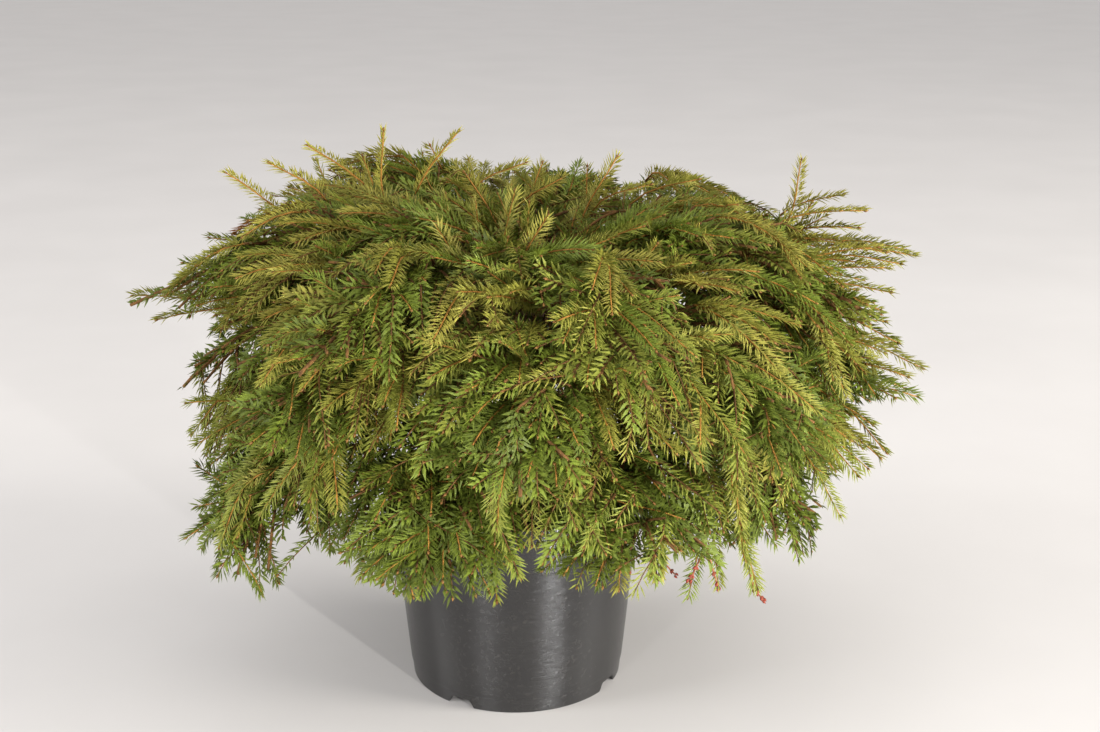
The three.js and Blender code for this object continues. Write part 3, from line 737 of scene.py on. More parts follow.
def spread_out(mask, cells):
    """A grid of marks, each widened by a number of cells."""
    wide = mask.copy()
    for _ in range(cells):
        grown = wide.copy()
        grown[1:] |= wide[:-1]
        grown[:-1] |= wide[1:]
        grown[:, 1:] |= wide[:, :-1]
        grown[:, :-1] |= wide[:, 1:]
        wide = grown
    return wide


def pot_marks():
    """Points on the wall of the pot and across its top, which no light passes either."""
    sides, step = 72, 10
    angle = turns(sides)
    rings = [(POT["rim"] - 3, z) for z in range(5, POT["height"], step)]
    rings += [(r, SOIL_TOP + 2) for r in range(step, 125, step)]
    return [np.stack([r * np.cos(angle), r * np.sin(angle), np.full(sides, z)], axis=-1) for r, z in rings]


def view_axes(azimuth, elevation):
    """The ways towards the eye, to the right and up, in a view from round the crown."""
    c, s = math.cos(azimuth), math.sin(azimuth)
    near = np.array([s * math.cos(elevation), -c * math.cos(elevation), math.sin(elevation)])
    right = np.array([c, s, 0.0])
    return near, right, np.cross(right, -near)


def view_cells(points, right, above):
    """The cell of a view in which each point shows."""
    half, last = GRID["size"] / 2, GRID["size"] - 1
    u = np.clip(((points @ right) / GRID["cell"] + half).astype(int), 0, last)
    v = np.clip(((points @ above - GRID["height"]) / GRID["cell"] + half).astype(int), 0, last)
    return u, v


def tally(count, u, v):
    """Marks each cell and those round it, in counts that have one more row at each edge of the view."""
    for i in (0, 1, 2):
        for j in (0, 1, 2):
            np.add.at(count, (u + i, v + j), 1)


def light_gaps(growth, surface, facing, inside, taken, rng):
    """Shoots for the places where light would fall right through the crown, seen from all round and above."""
    marks = [shoot["curve"].at(np.linspace(0.08, 0.97, 13)) for shoot in growth.shoots]
    marks = np.concatenate(marks + LAYERS * pot_marks())
    found = []
    for elevation in VIEWS["elevations"]:
        for azimuth in range(0, 360, VIEWS["step"]):
            near, right, above = view_axes(azimuth * DEG, elevation * DEG)
            count = np.zeros((GRID["size"] + 2, GRID["size"] + 2))
            tally(count, *view_cells(marks, right, above))
            u, v = view_cells(surface, right, above)
            crown = np.zeros((GRID["size"], GRID["size"]), bool)
            crown[u, v] = True
            crown = ~spread_out(~spread_out(crown, 3), 6)
            depth = surface @ near + np.where(inside, 1000, 0)
            for i, j in rng.permutation(np.argwhere(crown & (count[1:-1, 1:-1] < LAYERS))):
                if count[i + 1, j + 1] >= LAYERS:
                    continue
                here = np.flatnonzero((np.abs(u - i) <= 1) & (np.abs(v - j) <= 1))
                for k in here[np.argsort(-depth[here], kind="stable")][:24:2]:
                    place = surface[k] - near * CLOSING["back"]
                    if (np.linalg.norm(taken - place, axis=1) < CLOSING["room"]).any():
                        continue
                    way = shoot_ways(place[None], facing[k][None], rng)[0]
                    line = place - way * np.linspace(3, CLOSING["length"], 12)[:, None]
                    tally(count, *view_cells(line, right, above))
                    marks = np.concatenate([marks, line])
                    taken = np.vstack([taken, place])
                    found.append((place, way))
                    break
    return found, taken


def grow_outside(growth):
    """Shoots to the placed tips, all over the outline and in a second layer inside. Returns their tips."""
    leaders, own = (np.array([seen_at(*row[k:k + 3]) for row in LEADERS], float) for k in (0, 3))
    outer, outer_ways = spread_tips(1, SPACING, leaders, 6)
    inner, inner_ways = spread_tips(SHADE["level"], SHADE["spacing"], np.zeros((0, 3)), 7)
    tips = np.concatenate([leaders, outer, inner])
    starts = np.concatenate([own, hand_starts(outer, outer_ways, 9), hand_starts(inner, inner_ways, 10)])
    apart = to_stems(tips)
    masses = apart.argmin(axis=1)
    for k in np.argsort(apart.min(axis=1)):
        shade, placed = k >= len(leaders) + len(outer), k < len(leaders)
        reach_for(growth, int(masses[k]), tips[k], starts[k], 4001 + 37 * int(k), shade, placed)
    return tips


def grow_forks(growth):
    """Side shoots on some of the longest shoots."""
    for shoot in list(growth.shoots):
        curve, seed = shoot["curve"], shoot["key"] % SMALL
        for m, hand in enumerate((-1, 1)):
            if curve.length < FORK["least"] or shoot["shade"] or chance(seed, 4, m) > FORK["chance"]:
                continue
            place = 0.26 + 0.2 * chance(seed, 5, m)
            start = curve.at(place)
            way = branch_off(curve.along(place), start, FORK["angle"], hand, 0.12)
            twig = grow(start, way, FORK["length"] + 18 * chance(seed, 6, m), 0.004)
            growth.add_shoot(shoot["mass"], twig, (shoot["key"] * 7 + m + 1) % LARGE)


def grow_shade(growth):
    """Short shoots along all the wood, and one at each end that bears none."""
    for number, twig in enumerate(list(growth.wood)):
        grow_inner(growth, number)
        if not twig["shoots"]:
            end = twig["curve"]
            line = grow(end.at(1.0), end.along(1.0), 50 + 20 * chance(twig["key"] % SMALL, 8), 0.005)
            line = shortened(line, twig["mass"], -MINGLE, SHORTEST)
            if line is not None:
                growth.add_shoot(twig["mass"], line, (twig["key"] * 3 + 1) % LARGE, True)


def grow_in_gaps(growth, tips):
    """Shaded shoots where light would fall through, in three rounds."""
    rng = np.random.default_rng(8)
    layers = [crown_surface(level, rng) for level in (0.72, 0.5, 0.3, 1)]
    surface = np.concatenate([points for points, _ in layers])
    facing = np.concatenate([ways for _, ways in layers])
    inside = np.arange(len(surface)) < len(surface) - len(layers[-1][0])
    for _ in range(3):
        found, tips = light_gaps(growth, surface, facing, inside, tips, rng)
        for k, (tip, way) in enumerate(found):
            if not in_the_open(tip[None])[0]:
                seed = (70001 + 41 * k + len(growth.shoots)) % LARGE
                reach_for(growth, nearest_mass(tip), tip, tip - way * SHOOT[0], seed, True)


def grow_filling(growth):
    """Shaded shoots that hang outwards to the filled places."""
    for k, tip in enumerate(np.array(FILLED, float)):
        turned = np.array([sway(k, 80), sway(k, 81), sway(k, 82)])
        way = unit(unit(tip * (1, 1, 0)) + np.array([0, 0, -0.7]) + 0.8 * turned)
        reach_for(growth, nearest_mass(tip), tip, tip - way * SHOOT[0], 90001 + 43 * k, True)


def grow_crown():
    growth = Growth()
    for index in range(len(LIMBS)):
        grow_wood(growth, index)
    tips = grow_outside(growth)
    grow_forks(growth)
    grow_shade(growth)
    grow_in_gaps(growth, tips)
    grow_filling(growth)
    return growth


# ---- meshes from arrays


def add_object(name, data):
    thing = bpy.data.objects.new(name, data)
    bpy.context.collection.objects.link(thing)
    return thing


def make_object(name, vertices, polygons, materials, choice=None, smooth=False):
    """An object from arrays: vertices in mm, polygons as rows of 3 or 4 corners."""
    mesh = bpy.data.meshes.new(name)
    vertices = np.asarray(vertices, np.float32) * MM
    groups = polygons if isinstance(polygons, list) else [polygons]
    corners = np.concatenate([np.asarray(g, np.int32).ravel() for g in groups])
    totals = np.concatenate([np.full(len(g), np.asarray(g).shape[1], np.int32) for g in groups])
    starts = np.concatenate([[0], np.cumsum(totals)[:-1]]).astype(np.int32)
    mesh.vertices.add(len(vertices))
    mesh.vertices.foreach_set("co", vertices.ravel())
    mesh.loops.add(len(corners))
    mesh.loops.foreach_set("vertex_index", corners)
    mesh.polygons.add(len(totals))
    mesh.polygons.foreach_set("loop_start", starts)
    mesh.polygons.foreach_set("loop_total", totals)
    if choice is not None:
        mesh.polygons.foreach_set("material_index", np.asarray(choice, np.int32))
    mesh.polygons.foreach_set("use_smooth", np.full(len(totals), smooth))
    for material in materials:
        mesh.materials.append(material)
    mesh.update(calc_edges=True)
    mesh.validate()
    return add_object(name, mesh)


def finish_piece(piece, nodes=()):
    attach(piece, "root")
    if nodes:
        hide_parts(*nodes)


def turns(sides):
    """Evenly spaced directions round a circle."""
    return np.arange(sides) * 2 * math.pi / sides


def tube_rings(curve, shares, radii, sides):
    """Rings of points across a curve."""
    middle = curve.at(shares)
    side, over = frames(middle, curve.along(shares))
    angle = turns(sides)
    radii = np.broadcast_to(radii, (len(shares),))[:, None, None]
    ring = np.cos(angle)[None, :, None] * side[:, None] + np.sin(angle)[None, :, None] * over[:, None]
    return middle[:, None] + radii * ring


def ring_faces(rings, sides, offset=0):
    """Quads between rings of points."""
    r, s = np.meshgrid(np.arange(rings - 1), np.arange(sides), indexing="ij")
    a = r * sides + s
    b = r * sides + (s + 1) % sides
    return np.stack([a, b, b + sides, a + sides], axis=-1).reshape(-1, 4) + offset


def end_caps(rings, sides, offset=0):
    """The two faces that close the ends of a tube."""
    ring = np.arange(sides)
    return np.array([ring[::-1], ring + (rings - 1) * sides]) + offset


def make_tubes(name, tubes, material):
    """One smooth piece from closed tubes, each of them rings of points from one end to the other."""
    quads, caps, count = [], [], 0
    for tube in tubes:
        rings, sides = tube.shape[:2]
        quads.append(ring_faces(rings, sides, count))
        caps.append(end_caps(rings, sides, count))
        count += rings * sides
    vertices = np.concatenate([tube.reshape(-1, 3) for tube in tubes])
    return make_object(name, vertices, [np.concatenate(quads), np.concatenate(caps)], [material], smooth=True)


class Batch:
    """Tubes and closed tips gathered into one mesh."""

    def __init__(self):
        self.vertices, self.quads, self.triangles = [], [], []
        self.quad_choice, self.triangle_choice = [], []
        self.count = 0

    def tube(self, curve, steps, radii, sides, choice=0, thinner=1):
        """A tube along a curve, tapered from the first radius to the second."""
        shares = np.linspace(0, 1, steps + 1)
        rings = tube_rings(curve, shares, mix(*radii, shares) * thinner, sides)
        quads = ring_faces(steps + 1, sides, self.count)
        first = self.count
        last = self.count + steps * sides
        start = [[first, first + k + 1, first + k] for k in range(1, sides - 1)]
        end = [[last, last + k, last + k + 1] for k in range(1, sides - 1)]
        self.vertices.append(rings.reshape(-1, 3))
        self.quads.append(quads)
        self.quad_choice.append(np.full(len(quads), choice))
        self.triangles.append(np.array(start + end))
        self.triangle_choice.append(np.full(len(start) + len(end), choice))
        self.count += (steps + 1) * sides

    def raw(self, vertices, triangles, choice=0):
        self.vertices.append(vertices)
        self.triangles.append(np.asarray(triangles) + self.count)
        self.triangle_choice.append(np.full(len(triangles), choice))
        self.count += len(vertices)

    def build(self, name, materials, smooth=True):
        groups, choice = [], []
        if self.quads:
            groups.append(np.concatenate(self.quads))
            choice.append(np.concatenate(self.quad_choice))
        if self.triangles:
            groups.append(np.concatenate(self.triangles))
            choice.append(np.concatenate(self.triangle_choice))
        vertices = np.concatenate(self.vertices)
        return make_object(name, vertices, groups, materials, np.concatenate(choice), smooth)


# ---- needles

NEEDLE_FACES = np.array([[0, 1, 2], [0, 3, 1], [3, 2, 1], [0, 2, 3]])
NEEDLE_TINTS = [
    ("needles_straw", (128, 123, 50)),
    ("needles_gold", (126, 120, 48)),
    ("needles_olive", (116, 114, 42)),
    ("needles_moss", (106, 110, 38)),
    ("needles_leaf", (94, 106, 32)),
    # darkest tint: partly the own darker green of old inner needles, partly painted shade of the crown's
    # middle
    ("needles_deep", (72, 82, 22)),
    ("needles_dry", (120, 76, 38)),
]
STRAW, GOLD, LEAF, DEEP, DRY = 0, 1, 4, 5, 6  # places in that list


def needle_array(curve, first, last, density, seed, fresh, broad):
    """Needles on one shoot, from first to last mm, each as four corners: root, tip and two at its widest.

    Some are combed flat to the two sides. The others stand over the twig, lean forward and leave a parting.
    """
    rng = np.random.default_rng(seed)
    span = max(last - first, 1)
    comb = max(4, int(span * NEEDLE["comb"] * density))
    top = max(2, int(span * NEEDLE["top"] * density))
    side_places = [first + (np.arange(comb) + 0.5 * k + 0.3 * rng.random(comb)) * span / comb for k in (0, 1)]
    top_places = first + (np.arange(top) + rng.random(top)) * span / top
    place = np.minimum(np.concatenate([*side_places, top_places]), last)
    count = len(place)
    above = np.arange(count) >= 2 * comb
    hand = np.concatenate([np.ones(comb), -np.ones(comb), np.where(rng.random(top) < 0.5, -1.0, 1.0)])
    share = place / curve.length
    toward = (place - first) / span
    middle = curve.at(share)
    along = curve.along(share)
    side, over = frames(middle, along)
    roll = NEEDLE["roll"] * sway(seed % SMALL, 21)
    side, over = side * math.cos(roll) + over * math.sin(roll), over * math.cos(roll) - side * math.sin(roll)
    standing, combed = rng.uniform(*NEEDLE["raised"], count), rng.normal(2, NEEDLE["scatter"], count)
    raised = np.where(above, standing, combed) * DEG
    near_tip = np.clip((toward - 0.88) / 0.12, 0, 1)
    lean = mix(NEEDLE["lean"], NEEDLE["tip_lean"] + 12 * DEG, toward**2.4)
    lean = lean * np.where(above, 0.74, 1) + rng.normal(0, 4 * DEG, count)
    lean = mix(lean, NEEDLE["tip_lean"] * (0.5 + 0.7 * rng.random(count)), near_tip * 0.85)
    raised = np.where(near_tip > 0.3, raised + rng.normal(0, 30 * DEG, count), raised)
    outward = side * (hand * np.cos(raised))[:, None] + over * np.sin(raised)[:, None]
    direction = along * np.cos(lean)[:, None] + outward * np.sin(lean)[:, None]
    size = NEEDLE["length"] * (0.66 + 0.34 * np.clip(toward / 0.1, 0, 1)) * (1 - 0.25 * near_tip)
    size = size * np.where(above, NEEDLE["top_size"], 1) * (1 + 0.06 * rng.normal(0, 1, count))
    size = (size * mix(0.86, 1.08, chance(seed % SMALL, 22)))[:, None]
    twig = mix(*SHOOT_RADIUS, share)[:, None]
    root = middle + outward * twig * 0.55
    tip = root + direction * size + along * size * 0.08 - over * size * 0.04 * (1 - fresh)
    upper = unit(np.cross(direction, np.cross(over, direction) + 1e-6))
    across = unit(np.cross(direction, upper))
    waist = root + direction * size * 0.45 + upper * NEEDLE["height"] * 0.9
    half = NEEDLE["width"] / 2 * broad
    return np.stack([root, tip, waist + across * half, waist - across * half], axis=1)


def breadth(curve, index):
    """Needles are broader deep inside the crown, where fewer of them are drawn."""
    share = outline_share(curve.at(0.5)[None], index)[0]
    return mix(1.0, SHADE_WIDTH, float(np.clip((0.78 - share) / 0.25, 0, 1)))


def shade_of(shoot):
    """The tint of a shoot: higher and outer ones are yellower, those near the ground greener, and deep inner
    ones darker.
    """
    seed, middle = shoot["key"] % SMALL, shoot["curve"].at(0.5)
    to_dry = np.linalg.norm(np.array(DRY_PLACES) - shoot["curve"].at(1.0), axis=1).min()
    if to_dry < 24 and chance(seed, 43) < 0.5:
        return DRY
    high = np.clip((middle[2] - HEIGHTS[0]) / (HEIGHTS[1] - HEIGHTS[0]), 0, 1)
    draw = chance(seed, 41)
    if draw < 0.015:
        return STRAW
    # Painted shade: deep inside the crown needles take the darker deep and leaf tints, besides the older
    # needles' own darker green.
    if outline_share(middle[None], shoot["mass"])[0] < 0.72:
        return (DEEP if draw < 0.6 else LEAF) - int(high > 0.65)
    return int(np.clip(round(4.0 - 2.8 * high + 1.1 * (chance(seed, 42) - 0.5)), GOLD, LEAF))


# ---- materials


class Nodes:
    """Builds a Principled material from procedural nodes."""

    def __init__(self, name):
        self.material = bpy.data.materials.new(name)
        self.material.use_nodes = True
        self.tree = self.material.node_tree
        self.shader = self.tree.nodes["Principled BSDF"]
        self.coords = self.add("ShaderNodeTexCoord", {}, "Object")

    def fill(self, node, inputs):
        """Links the inputs that are given as sockets, and sets the others."""
        for key, value in inputs.items():
            if isinstance(value, bpy.types.NodeSocket):
                self.tree.links.new(value, node.inputs[key])
            elif value is not None:
                node.inputs[key].default_value = value

    def add(self, kind, inputs, output, **settings):
        node = self.tree.nodes.new(kind)
        for key, value in settings.items():
            setattr(node, key, value)
        self.fill(node, inputs)
        return node.outputs[output]

    def scaled(self, scale):
        return self.add("ShaderNodeMapping", {"Scale": scale, "Vector": self.coords}, "Vector")

    def noise(self, scale, detail=4.0, rough=0.55, vector=None):
        inputs = {"Scale": scale, "Detail": detail, "Roughness": rough, "Vector": vector or self.coords}
        return self.add("ShaderNodeTexNoise", inputs, "Fac")

    def cells(self, scale, vector=None, feature="F1"):
        inputs = {"Scale": scale, "Vector": vector or self.coords}
        return self.add("ShaderNodeTexVoronoi", inputs, "Distance", feature=feature)

    def ramp(self, factor, stops):
        node = self.tree.nodes.new("ShaderNodeValToRGB")
        elements = node.color_ramp.elements
        while len(elements) < len(stops):
            elements.new(0.5)
        for element, (place, color) in zip(elements, stops):
            element.position = place
            element.color = linear(color)
        self.fill(node, {"Fac": factor})
        return node.outputs["Color"]

    def range(self, factor, low, high):
        return self.add("ShaderNodeMapRange", {"To Min": low, "To Max": high, "Value": factor}, "Result")

    def mixed(self, factor, a, b):
        a, b = (linear(value) if isinstance(value, tuple) else value for value in (a, b))
        return self.add("ShaderNodeMix", {0: factor, 6: a, 7: b}, 2, data_type="RGBA")

    def bump(self, height, strength, distance, normal=None):
        inputs = {"Strength": strength, "Distance": distance, "Height": height, "Normal": normal}
        return self.add("ShaderNodeBump", inputs, "Normal")

    def done(self, color, roughness, normal=None, **others):
        self.fill(self.shader, {"Base Color": color, "Roughness": roughness, "Normal": normal})
        self.fill(self.shader, {key.replace("_", " "): value for key, value in others.items()})
        return self.material


def linear(color):
    """0 to 255 screen values as linear light, and opaque."""
    values = [c / 255 for c in color]
    return (*(c / 12.92 if c <= 0.04045 else ((c + 0.055) / 1.055) ** 2.4 for c in values), 1)


def darker(color, share):
    return tuple(c * share for c in color)


def needle_material(name, color):
    m = Nodes(name)
    fine = m.noise(900, 2)
    broad = m.noise(26, 3)
    tone = m.mixed(m.range(broad, 0.0, 1.0), darker(color, 0.82), color)
    tone = m.mixed(m.range(fine, -0.5, 1.2), tone, tuple(min(255, c * 1.16 + 6) for c in color))
    return m.done(tone, m.range(fine, 0.46, 0.64), Specular_IOR_Level=0.2)


def twig_material(name, light, dark, scale, rough=0.7, gloss=0.15):
    m = Nodes(name)
    grain = m.noise(scale, 6, 0.6)
    scars = m.cells(scale * 1.6)
    tone = m.ramp(grain, [(0.32, dark), (0.62, light)])
    relief = m.bump(scars, 0.5, 0.0006)
    return m.done(tone, m.range(grain, rough - 0.12, rough + 0.15), relief, Specular_IOR_Level=gloss)


def bark_material():
    m = Nodes("bark")
    long = m.noise(95, 8, 0.62, m.scaled((1, 1, 0.45)))
    fine = m.noise(620, 5, 0.6)
    scales = m.cells(150, m.scaled((1, 1, 0.6)), "DISTANCE_TO_EDGE")
    tone = m.ramp(long, [(0.28, (58, 38, 28)), (0.5, (112, 78, 56)), (0.72, (150, 116, 88))])
    tone = m.mixed(m.range(fine, 0.0, 0.7), tone, (96, 84, 72))
    relief = m.bump(scales, 0.8, 0.0025)
    relief = m.bump(fine, 0.4, 0.0008, relief)
    return m.done(tone, m.range(fine, 0.72, 0.95), relief)


def soil_material():
    m = Nodes("soil")
    broad = m.noise(45, 6, 0.65)
    fine = m.noise(420, 6, 0.7)
    tone = m.ramp(broad, [(0.3, (26, 18, 13)), (0.52, (52, 36, 25)), (0.74, (88, 62, 42))])
    tone = m.mixed(m.range(fine, 0.0, 0.6), tone, (40, 29, 22))
    relief = m.bump(fine, 0.9, 0.002)
    return m.done(tone, m.range(fine, 0.8, 0.98), relief)


def pot_material():
    m = Nodes("pot_plastic")
    cloud = m.noise(9, 3)
    lines = m.noise(3, 2, 0.5, m.scaled((2, 2, 900)))
    dust = m.noise(240, 6, 0.7)
    tone = m.ramp(cloud, [(0.25, (27, 26, 26)), (0.75, (36, 35, 34))])
    tone = m.mixed(m.range(dust, -0.35, 0.28), tone, (112, 106, 98))
    relief = m.bump(lines, 0.35, 0.0005)
    relief = m.bump(m.noise(24, 2), 0.012, 0.0012, relief)
    relief = m.bump(dust, 0.012, 0.0004, relief)
    turned = m.add("ShaderNodeTangent", {}, "Tangent", direction_type="RADIAL", axis="Z")
    gloss = dict(Anisotropic=1.0, Anisotropic_Rotation=0.25, Tangent=turned)
    return m.done(tone, m.range(dust, 0.2, 0.25), relief, **gloss)


# ---- the pot


def wall_radius(z):
    return mix(POT["foot"], POT["neck"], z / (POT["height"] - POT["rim_depth"]))


def arc(center, radius, a0, a1, steps):
    angle = np.radians(np.linspace(a0, a1, steps))
    return [(center[0] + radius * math.cos(a), center[1] + radius * math.sin(a)) for a in angle]


def pot_profile():
    """Radii and heights from the middle of the floor's underside, up the outside and down the inside."""
    middle = 0.01
    foot, rim, h, wall, step, lip = (POT[key] for key in ("foot", "rim", "height", "wall", "step", "lip"))
    under, floor, band, neck = POT["floor_under"], POT["floor_top"], POT["band"], h - POT["rim_depth"]
    profile = [(middle, under), (40, under), (foot - 3 * wall, under)]
    profile += [(foot - 2 * wall, 0.25), (foot - 2 * wall + 0.4, 0)]
    profile += [(foot - step - 0.5, 0), (foot - step, 0.5)]
    profile += [(wall_radius(band) - step, band), (wall_radius(band), band + step)]
    profile += [(wall_radius(z), z) for z in np.linspace(band + 3, neck - 3, 26)]
    profile += [(wall_radius(neck - 1), neck - 1), (wall_radius(neck) + 0.6, neck - 0.3)]
    profile += [(rim - lip - 0.3, neck), (rim - lip / 2, neck + lip * 0.6)]
    for z in np.linspace(neck + 3, h - 3 * lip, 5):
        profile.append((mix(rim - lip / 2, rim, (z - neck) / POT["rim_depth"]), z))
    profile += arc((rim - lip, h - lip), lip, 0, 90, 5)
    profile += [(rim - 2 * wall + 0.6, h), (rim - 2 * wall, h - 0.6)]
    profile += [(wall_radius(neck) - wall, neck), (wall_radius(100) - wall, 100)]
    return profile + [(wall_radius(floor) - wall, floor), (middle, floor)]


def make_pot(material):
    """A thin turned wall with slight waves in it, and notches cut through its foot."""
    sides, wave_height = 180, 0.3
    angle = turns(sides)
    rows = []
    for r, z in pot_profile():
        wave = np.zeros(sides)
        if r > POT["foot"] - 6 and POT["band"] < z < POT["height"] - 1:
            spots = [Vector((2.2 * math.cos(a), 2.2 * math.sin(a), z * 0.012)) for a in angle]
            wave = np.array([wave_height * noise.noise(spot) for spot in spots])
        x, y = (r + wave) * np.cos(angle), (r + wave) * np.sin(angle)
        rows.append(np.stack([x, y, np.full(sides, z)], axis=-1))
    pot = make_tubes("pot_shell", [np.array(rows)], material)
    cutters = [notch_block(i) for i in range(POT["notches"])]
    for cutter in cutters:
        boolean = pot.modifiers.new("notch", "BOOLEAN")
        boolean.operation = "DIFFERENCE"
        boolean.solver = "EXACT"
        boolean.object = cutter
    apply_modifiers(pot)
    for cutter in cutters:
        bpy.data.objects.remove(cutter)
    sharpen(pot, 28)
    return pot


def notch_block(i):
    """What is cut out for one notch: level on top, with sides that draw in upwards."""
    half, draft, top = POT["notch_width"] / 2, POT["notch_draft"], POT["notch_height"]
    outline = [(-half, -5), (half, -5), (half, 0), (half - draft, top - 1.2), (half - draft - 1.2, top)]
    outline += [(draft + 1.2 - half, top), (draft - half, top - 1.2), (-half, 0)]
    near, far = POT["foot"] - 16, POT["foot"] + 8
    azimuth = POT["first_notch"] + i * 2 * math.pi / POT["notches"]
    c, s = math.cos(azimuth), math.sin(azimuth)
    points = [(r * c - y * s, r * s + y * c, z) for r in (near, far) for y, z in outline]
    n = len(outline)
    mesh = bpy.data.meshes.new("cutter")
    faces = [list(reversed(range(n))), [n + k for k in range(n)]]
    faces += [[k, (k + 1) % n, n + (k + 1) % n, n + k] for k in range(n)]
    mesh.from_pydata([Vector(p) * MM for p in points], [], faces)
    recalculate(mesh)
    return add_object("cutter", mesh)


def recalculate(mesh):
    work = bmesh.new()
    work.from_mesh(mesh)
    bmesh.ops.recalc_face_normals(work, faces=work.faces)
    work.to_mesh(mesh)
    work.free()


def apply_modifiers(piece):
    graph = bpy.context.evaluated_depsgraph_get()
    mesh = bpy.data.meshes.new_from_object(piece.evaluated_get(graph))
    piece.modifiers.clear()
    piece.data = mesh


def sharpen(piece, degrees):
    """Smooth shading, with edges sharper than an angle left crisp."""
    mesh = piece.data
    work = bmesh.new()
    work.from_mesh(mesh)
    for face in work.faces:
        face.smooth = True
    for edge in work.edges:
        edge.smooth = not (edge.is_manifold and edge.calc_face_angle(0) > degrees * DEG)
    work.to_mesh(mesh)
    work.free()


# ---- soil, trunk and boughs


def make_soil(material):
    """The top of the soil, rough and a little domed, on the block that fills the pot."""
    radius = wall_radius(SOIL_TOP) - POT["wall"] - GAP
    low, low_radius = POT["floor_top"] + GAP, wall_radius(POT["floor_top"]) - POT["wall"] - GAP
    rings, sides, bumps = 34, 96, 1.9
    angle = turns(sides)
    rows = [np.stack([low_radius * np.cos(angle), low_radius * np.sin(angle), np.full(sides, low)], -1)]
    for k in range(rings):
        share = 1 - k / rings
        r = radius * share
        row = []
        for a in angle:
            x, y = r * math.cos(a), r * math.sin(a)
            rough = noise.fractal(Vector((x * 0.07, y * 0.07, 3.1)), 0.8, 2.1, 5)
            z = SOIL_TOP + SOIL_DOME * (1 - share) + (bumps * rough if k else 0) - 0.6
            row.append((x, y, min(z, TRUNK["foot"] - 0.6)))
        rows.append(np.array(row))
    return make_tubes("soil_fill", [np.array(rows)], material)


def make_crumbs(materials):
    """Lumps and chips of bark on the soil."""
    crumbs, reach, chips = 620, 116, 0.4
    rng = np.random.default_rng(77)
    batch = Batch()
    octahedron = np.array([[1, 0, 0], [0, 1, 0], [-1, 0, 0], [0, -1, 0], [0, 0, 1], [0, 0, -1]], float)
    faces = [[0, 1, 4], [1, 2, 4], [2, 3, 4], [3, 0, 4], [1, 0, 5], [2, 1, 5], [3, 2, 5], [0, 3, 5]]
    for _ in range(crumbs):
        r = reach * math.sqrt(rng.random())
        a = rng.random() * 2 * math.pi
        if r < TRUNK["flare"] + 4:
            continue
        size = 1.2 + 2.6 * rng.random() ** 3
        stretch = size * (0.7 + 0.6 * rng.random((6, 1)))
        turn = rng.random() * math.pi
        shape = octahedron * stretch * [1.5, 0.9, 0.55]
        c, s = math.cos(turn), math.sin(turn)
        x, y, z = shape.T
        shape = np.stack([x * c - y * s, x * s + y * c, z], -1)
        height = SOIL_TOP + SOIL_DOME * (1 - r / 121.6)
        batch.raw(shape + [r * math.cos(a), r * math.sin(a), height + 0.3], faces, int(rng.random() < chips))
    return batch.build("soil_crumbs", materials, smooth=False)


def bark_tube(curve, radius_at, pitch, sides, depth, scale, lobes=0.0):
    """Rings of points along a tube whose surface is broken into long scales of bark."""
    count = max(6, int(curve.length / pitch))
    shares = np.linspace(0, 1, count + 1)
    middle = curve.at(shares)
    spokes = tube_rings(curve, shares, 1.0, sides) - middle[:, None]
    for i, share in enumerate(shares):
        base = radius_at(share)
        far = share * curve.length * scale * 0.45
        fade = 0.25 if i in (0, count) else 1
        for k in range(sides):
            angle = 2 * math.pi * k / sides
            spot = Vector((math.cos(angle) * base * scale, math.sin(angle) * base * scale, far))
            rough = noise.turbulence(spot, 4, False) - 0.5
            ridge = 1 + lobes * math.sin(3 * angle) * base / TRUNK["flare"]
            spokes[i, k] *= base * ridge + depth * rough * fade * min(1, base / 6)
    return middle[:, None] + spokes


def make_trunk(material):
    """The trunk, with three low lobes round its root flare."""
    curve = Curve([trunk_point(z) for z in np.linspace(TRUNK["foot"], TRUNK["top"], 60)])

    def radius_at(share):
        return trunk_radius(mix(TRUNK["foot"], TRUNK["top"], share))

    return make_tubes("trunk_bark", [bark_tube(curve, radius_at, 2.2, 36, 1.5, 0.32, 0.12)], material)


def make_bough(limb):
    """One bough, thickened where it leaves the trunk."""

    def radius_at(share):
        return mix(limb["radius"], STEM_RADIUS, share) * (1 + 0.28 * math.exp(-share * 14))

    curve = Curve(limb["curve"].at(np.linspace(0.012, limb["split"], 24)))
    return bark_tube(curve, radius_at, 3.2, 11, 0.85, 0.5)


# ---- buds


def bud(batch, at, along, size, choice=0, sides=4):
    """A small pointed bud: two rings and a tip."""
    side, over = frames(at, along)
    angle = turns(sides)
    ring = np.cos(angle)[:, None] * side + np.sin(angle)[:, None] * over
    rows = [at - along * size * 0.2 + ring * size * 0.26, at + along * size * 0.4 + ring * size * 0.46]
    vertices = np.concatenate(rows + [[at + along * size * 1.25]])
    faces = []
    for k in range(sides):
        n = (k + 1) % sides
        faces += [[k, n, sides + n], [k, sides + n, sides + k], [sides + k, sides + n, 2 * sides]]
    faces += [[0, k + 1, k] for k in range(1, sides - 1)]
    batch.raw(vertices, faces, choice)


# ---- twigs, shoots and needles in pieces


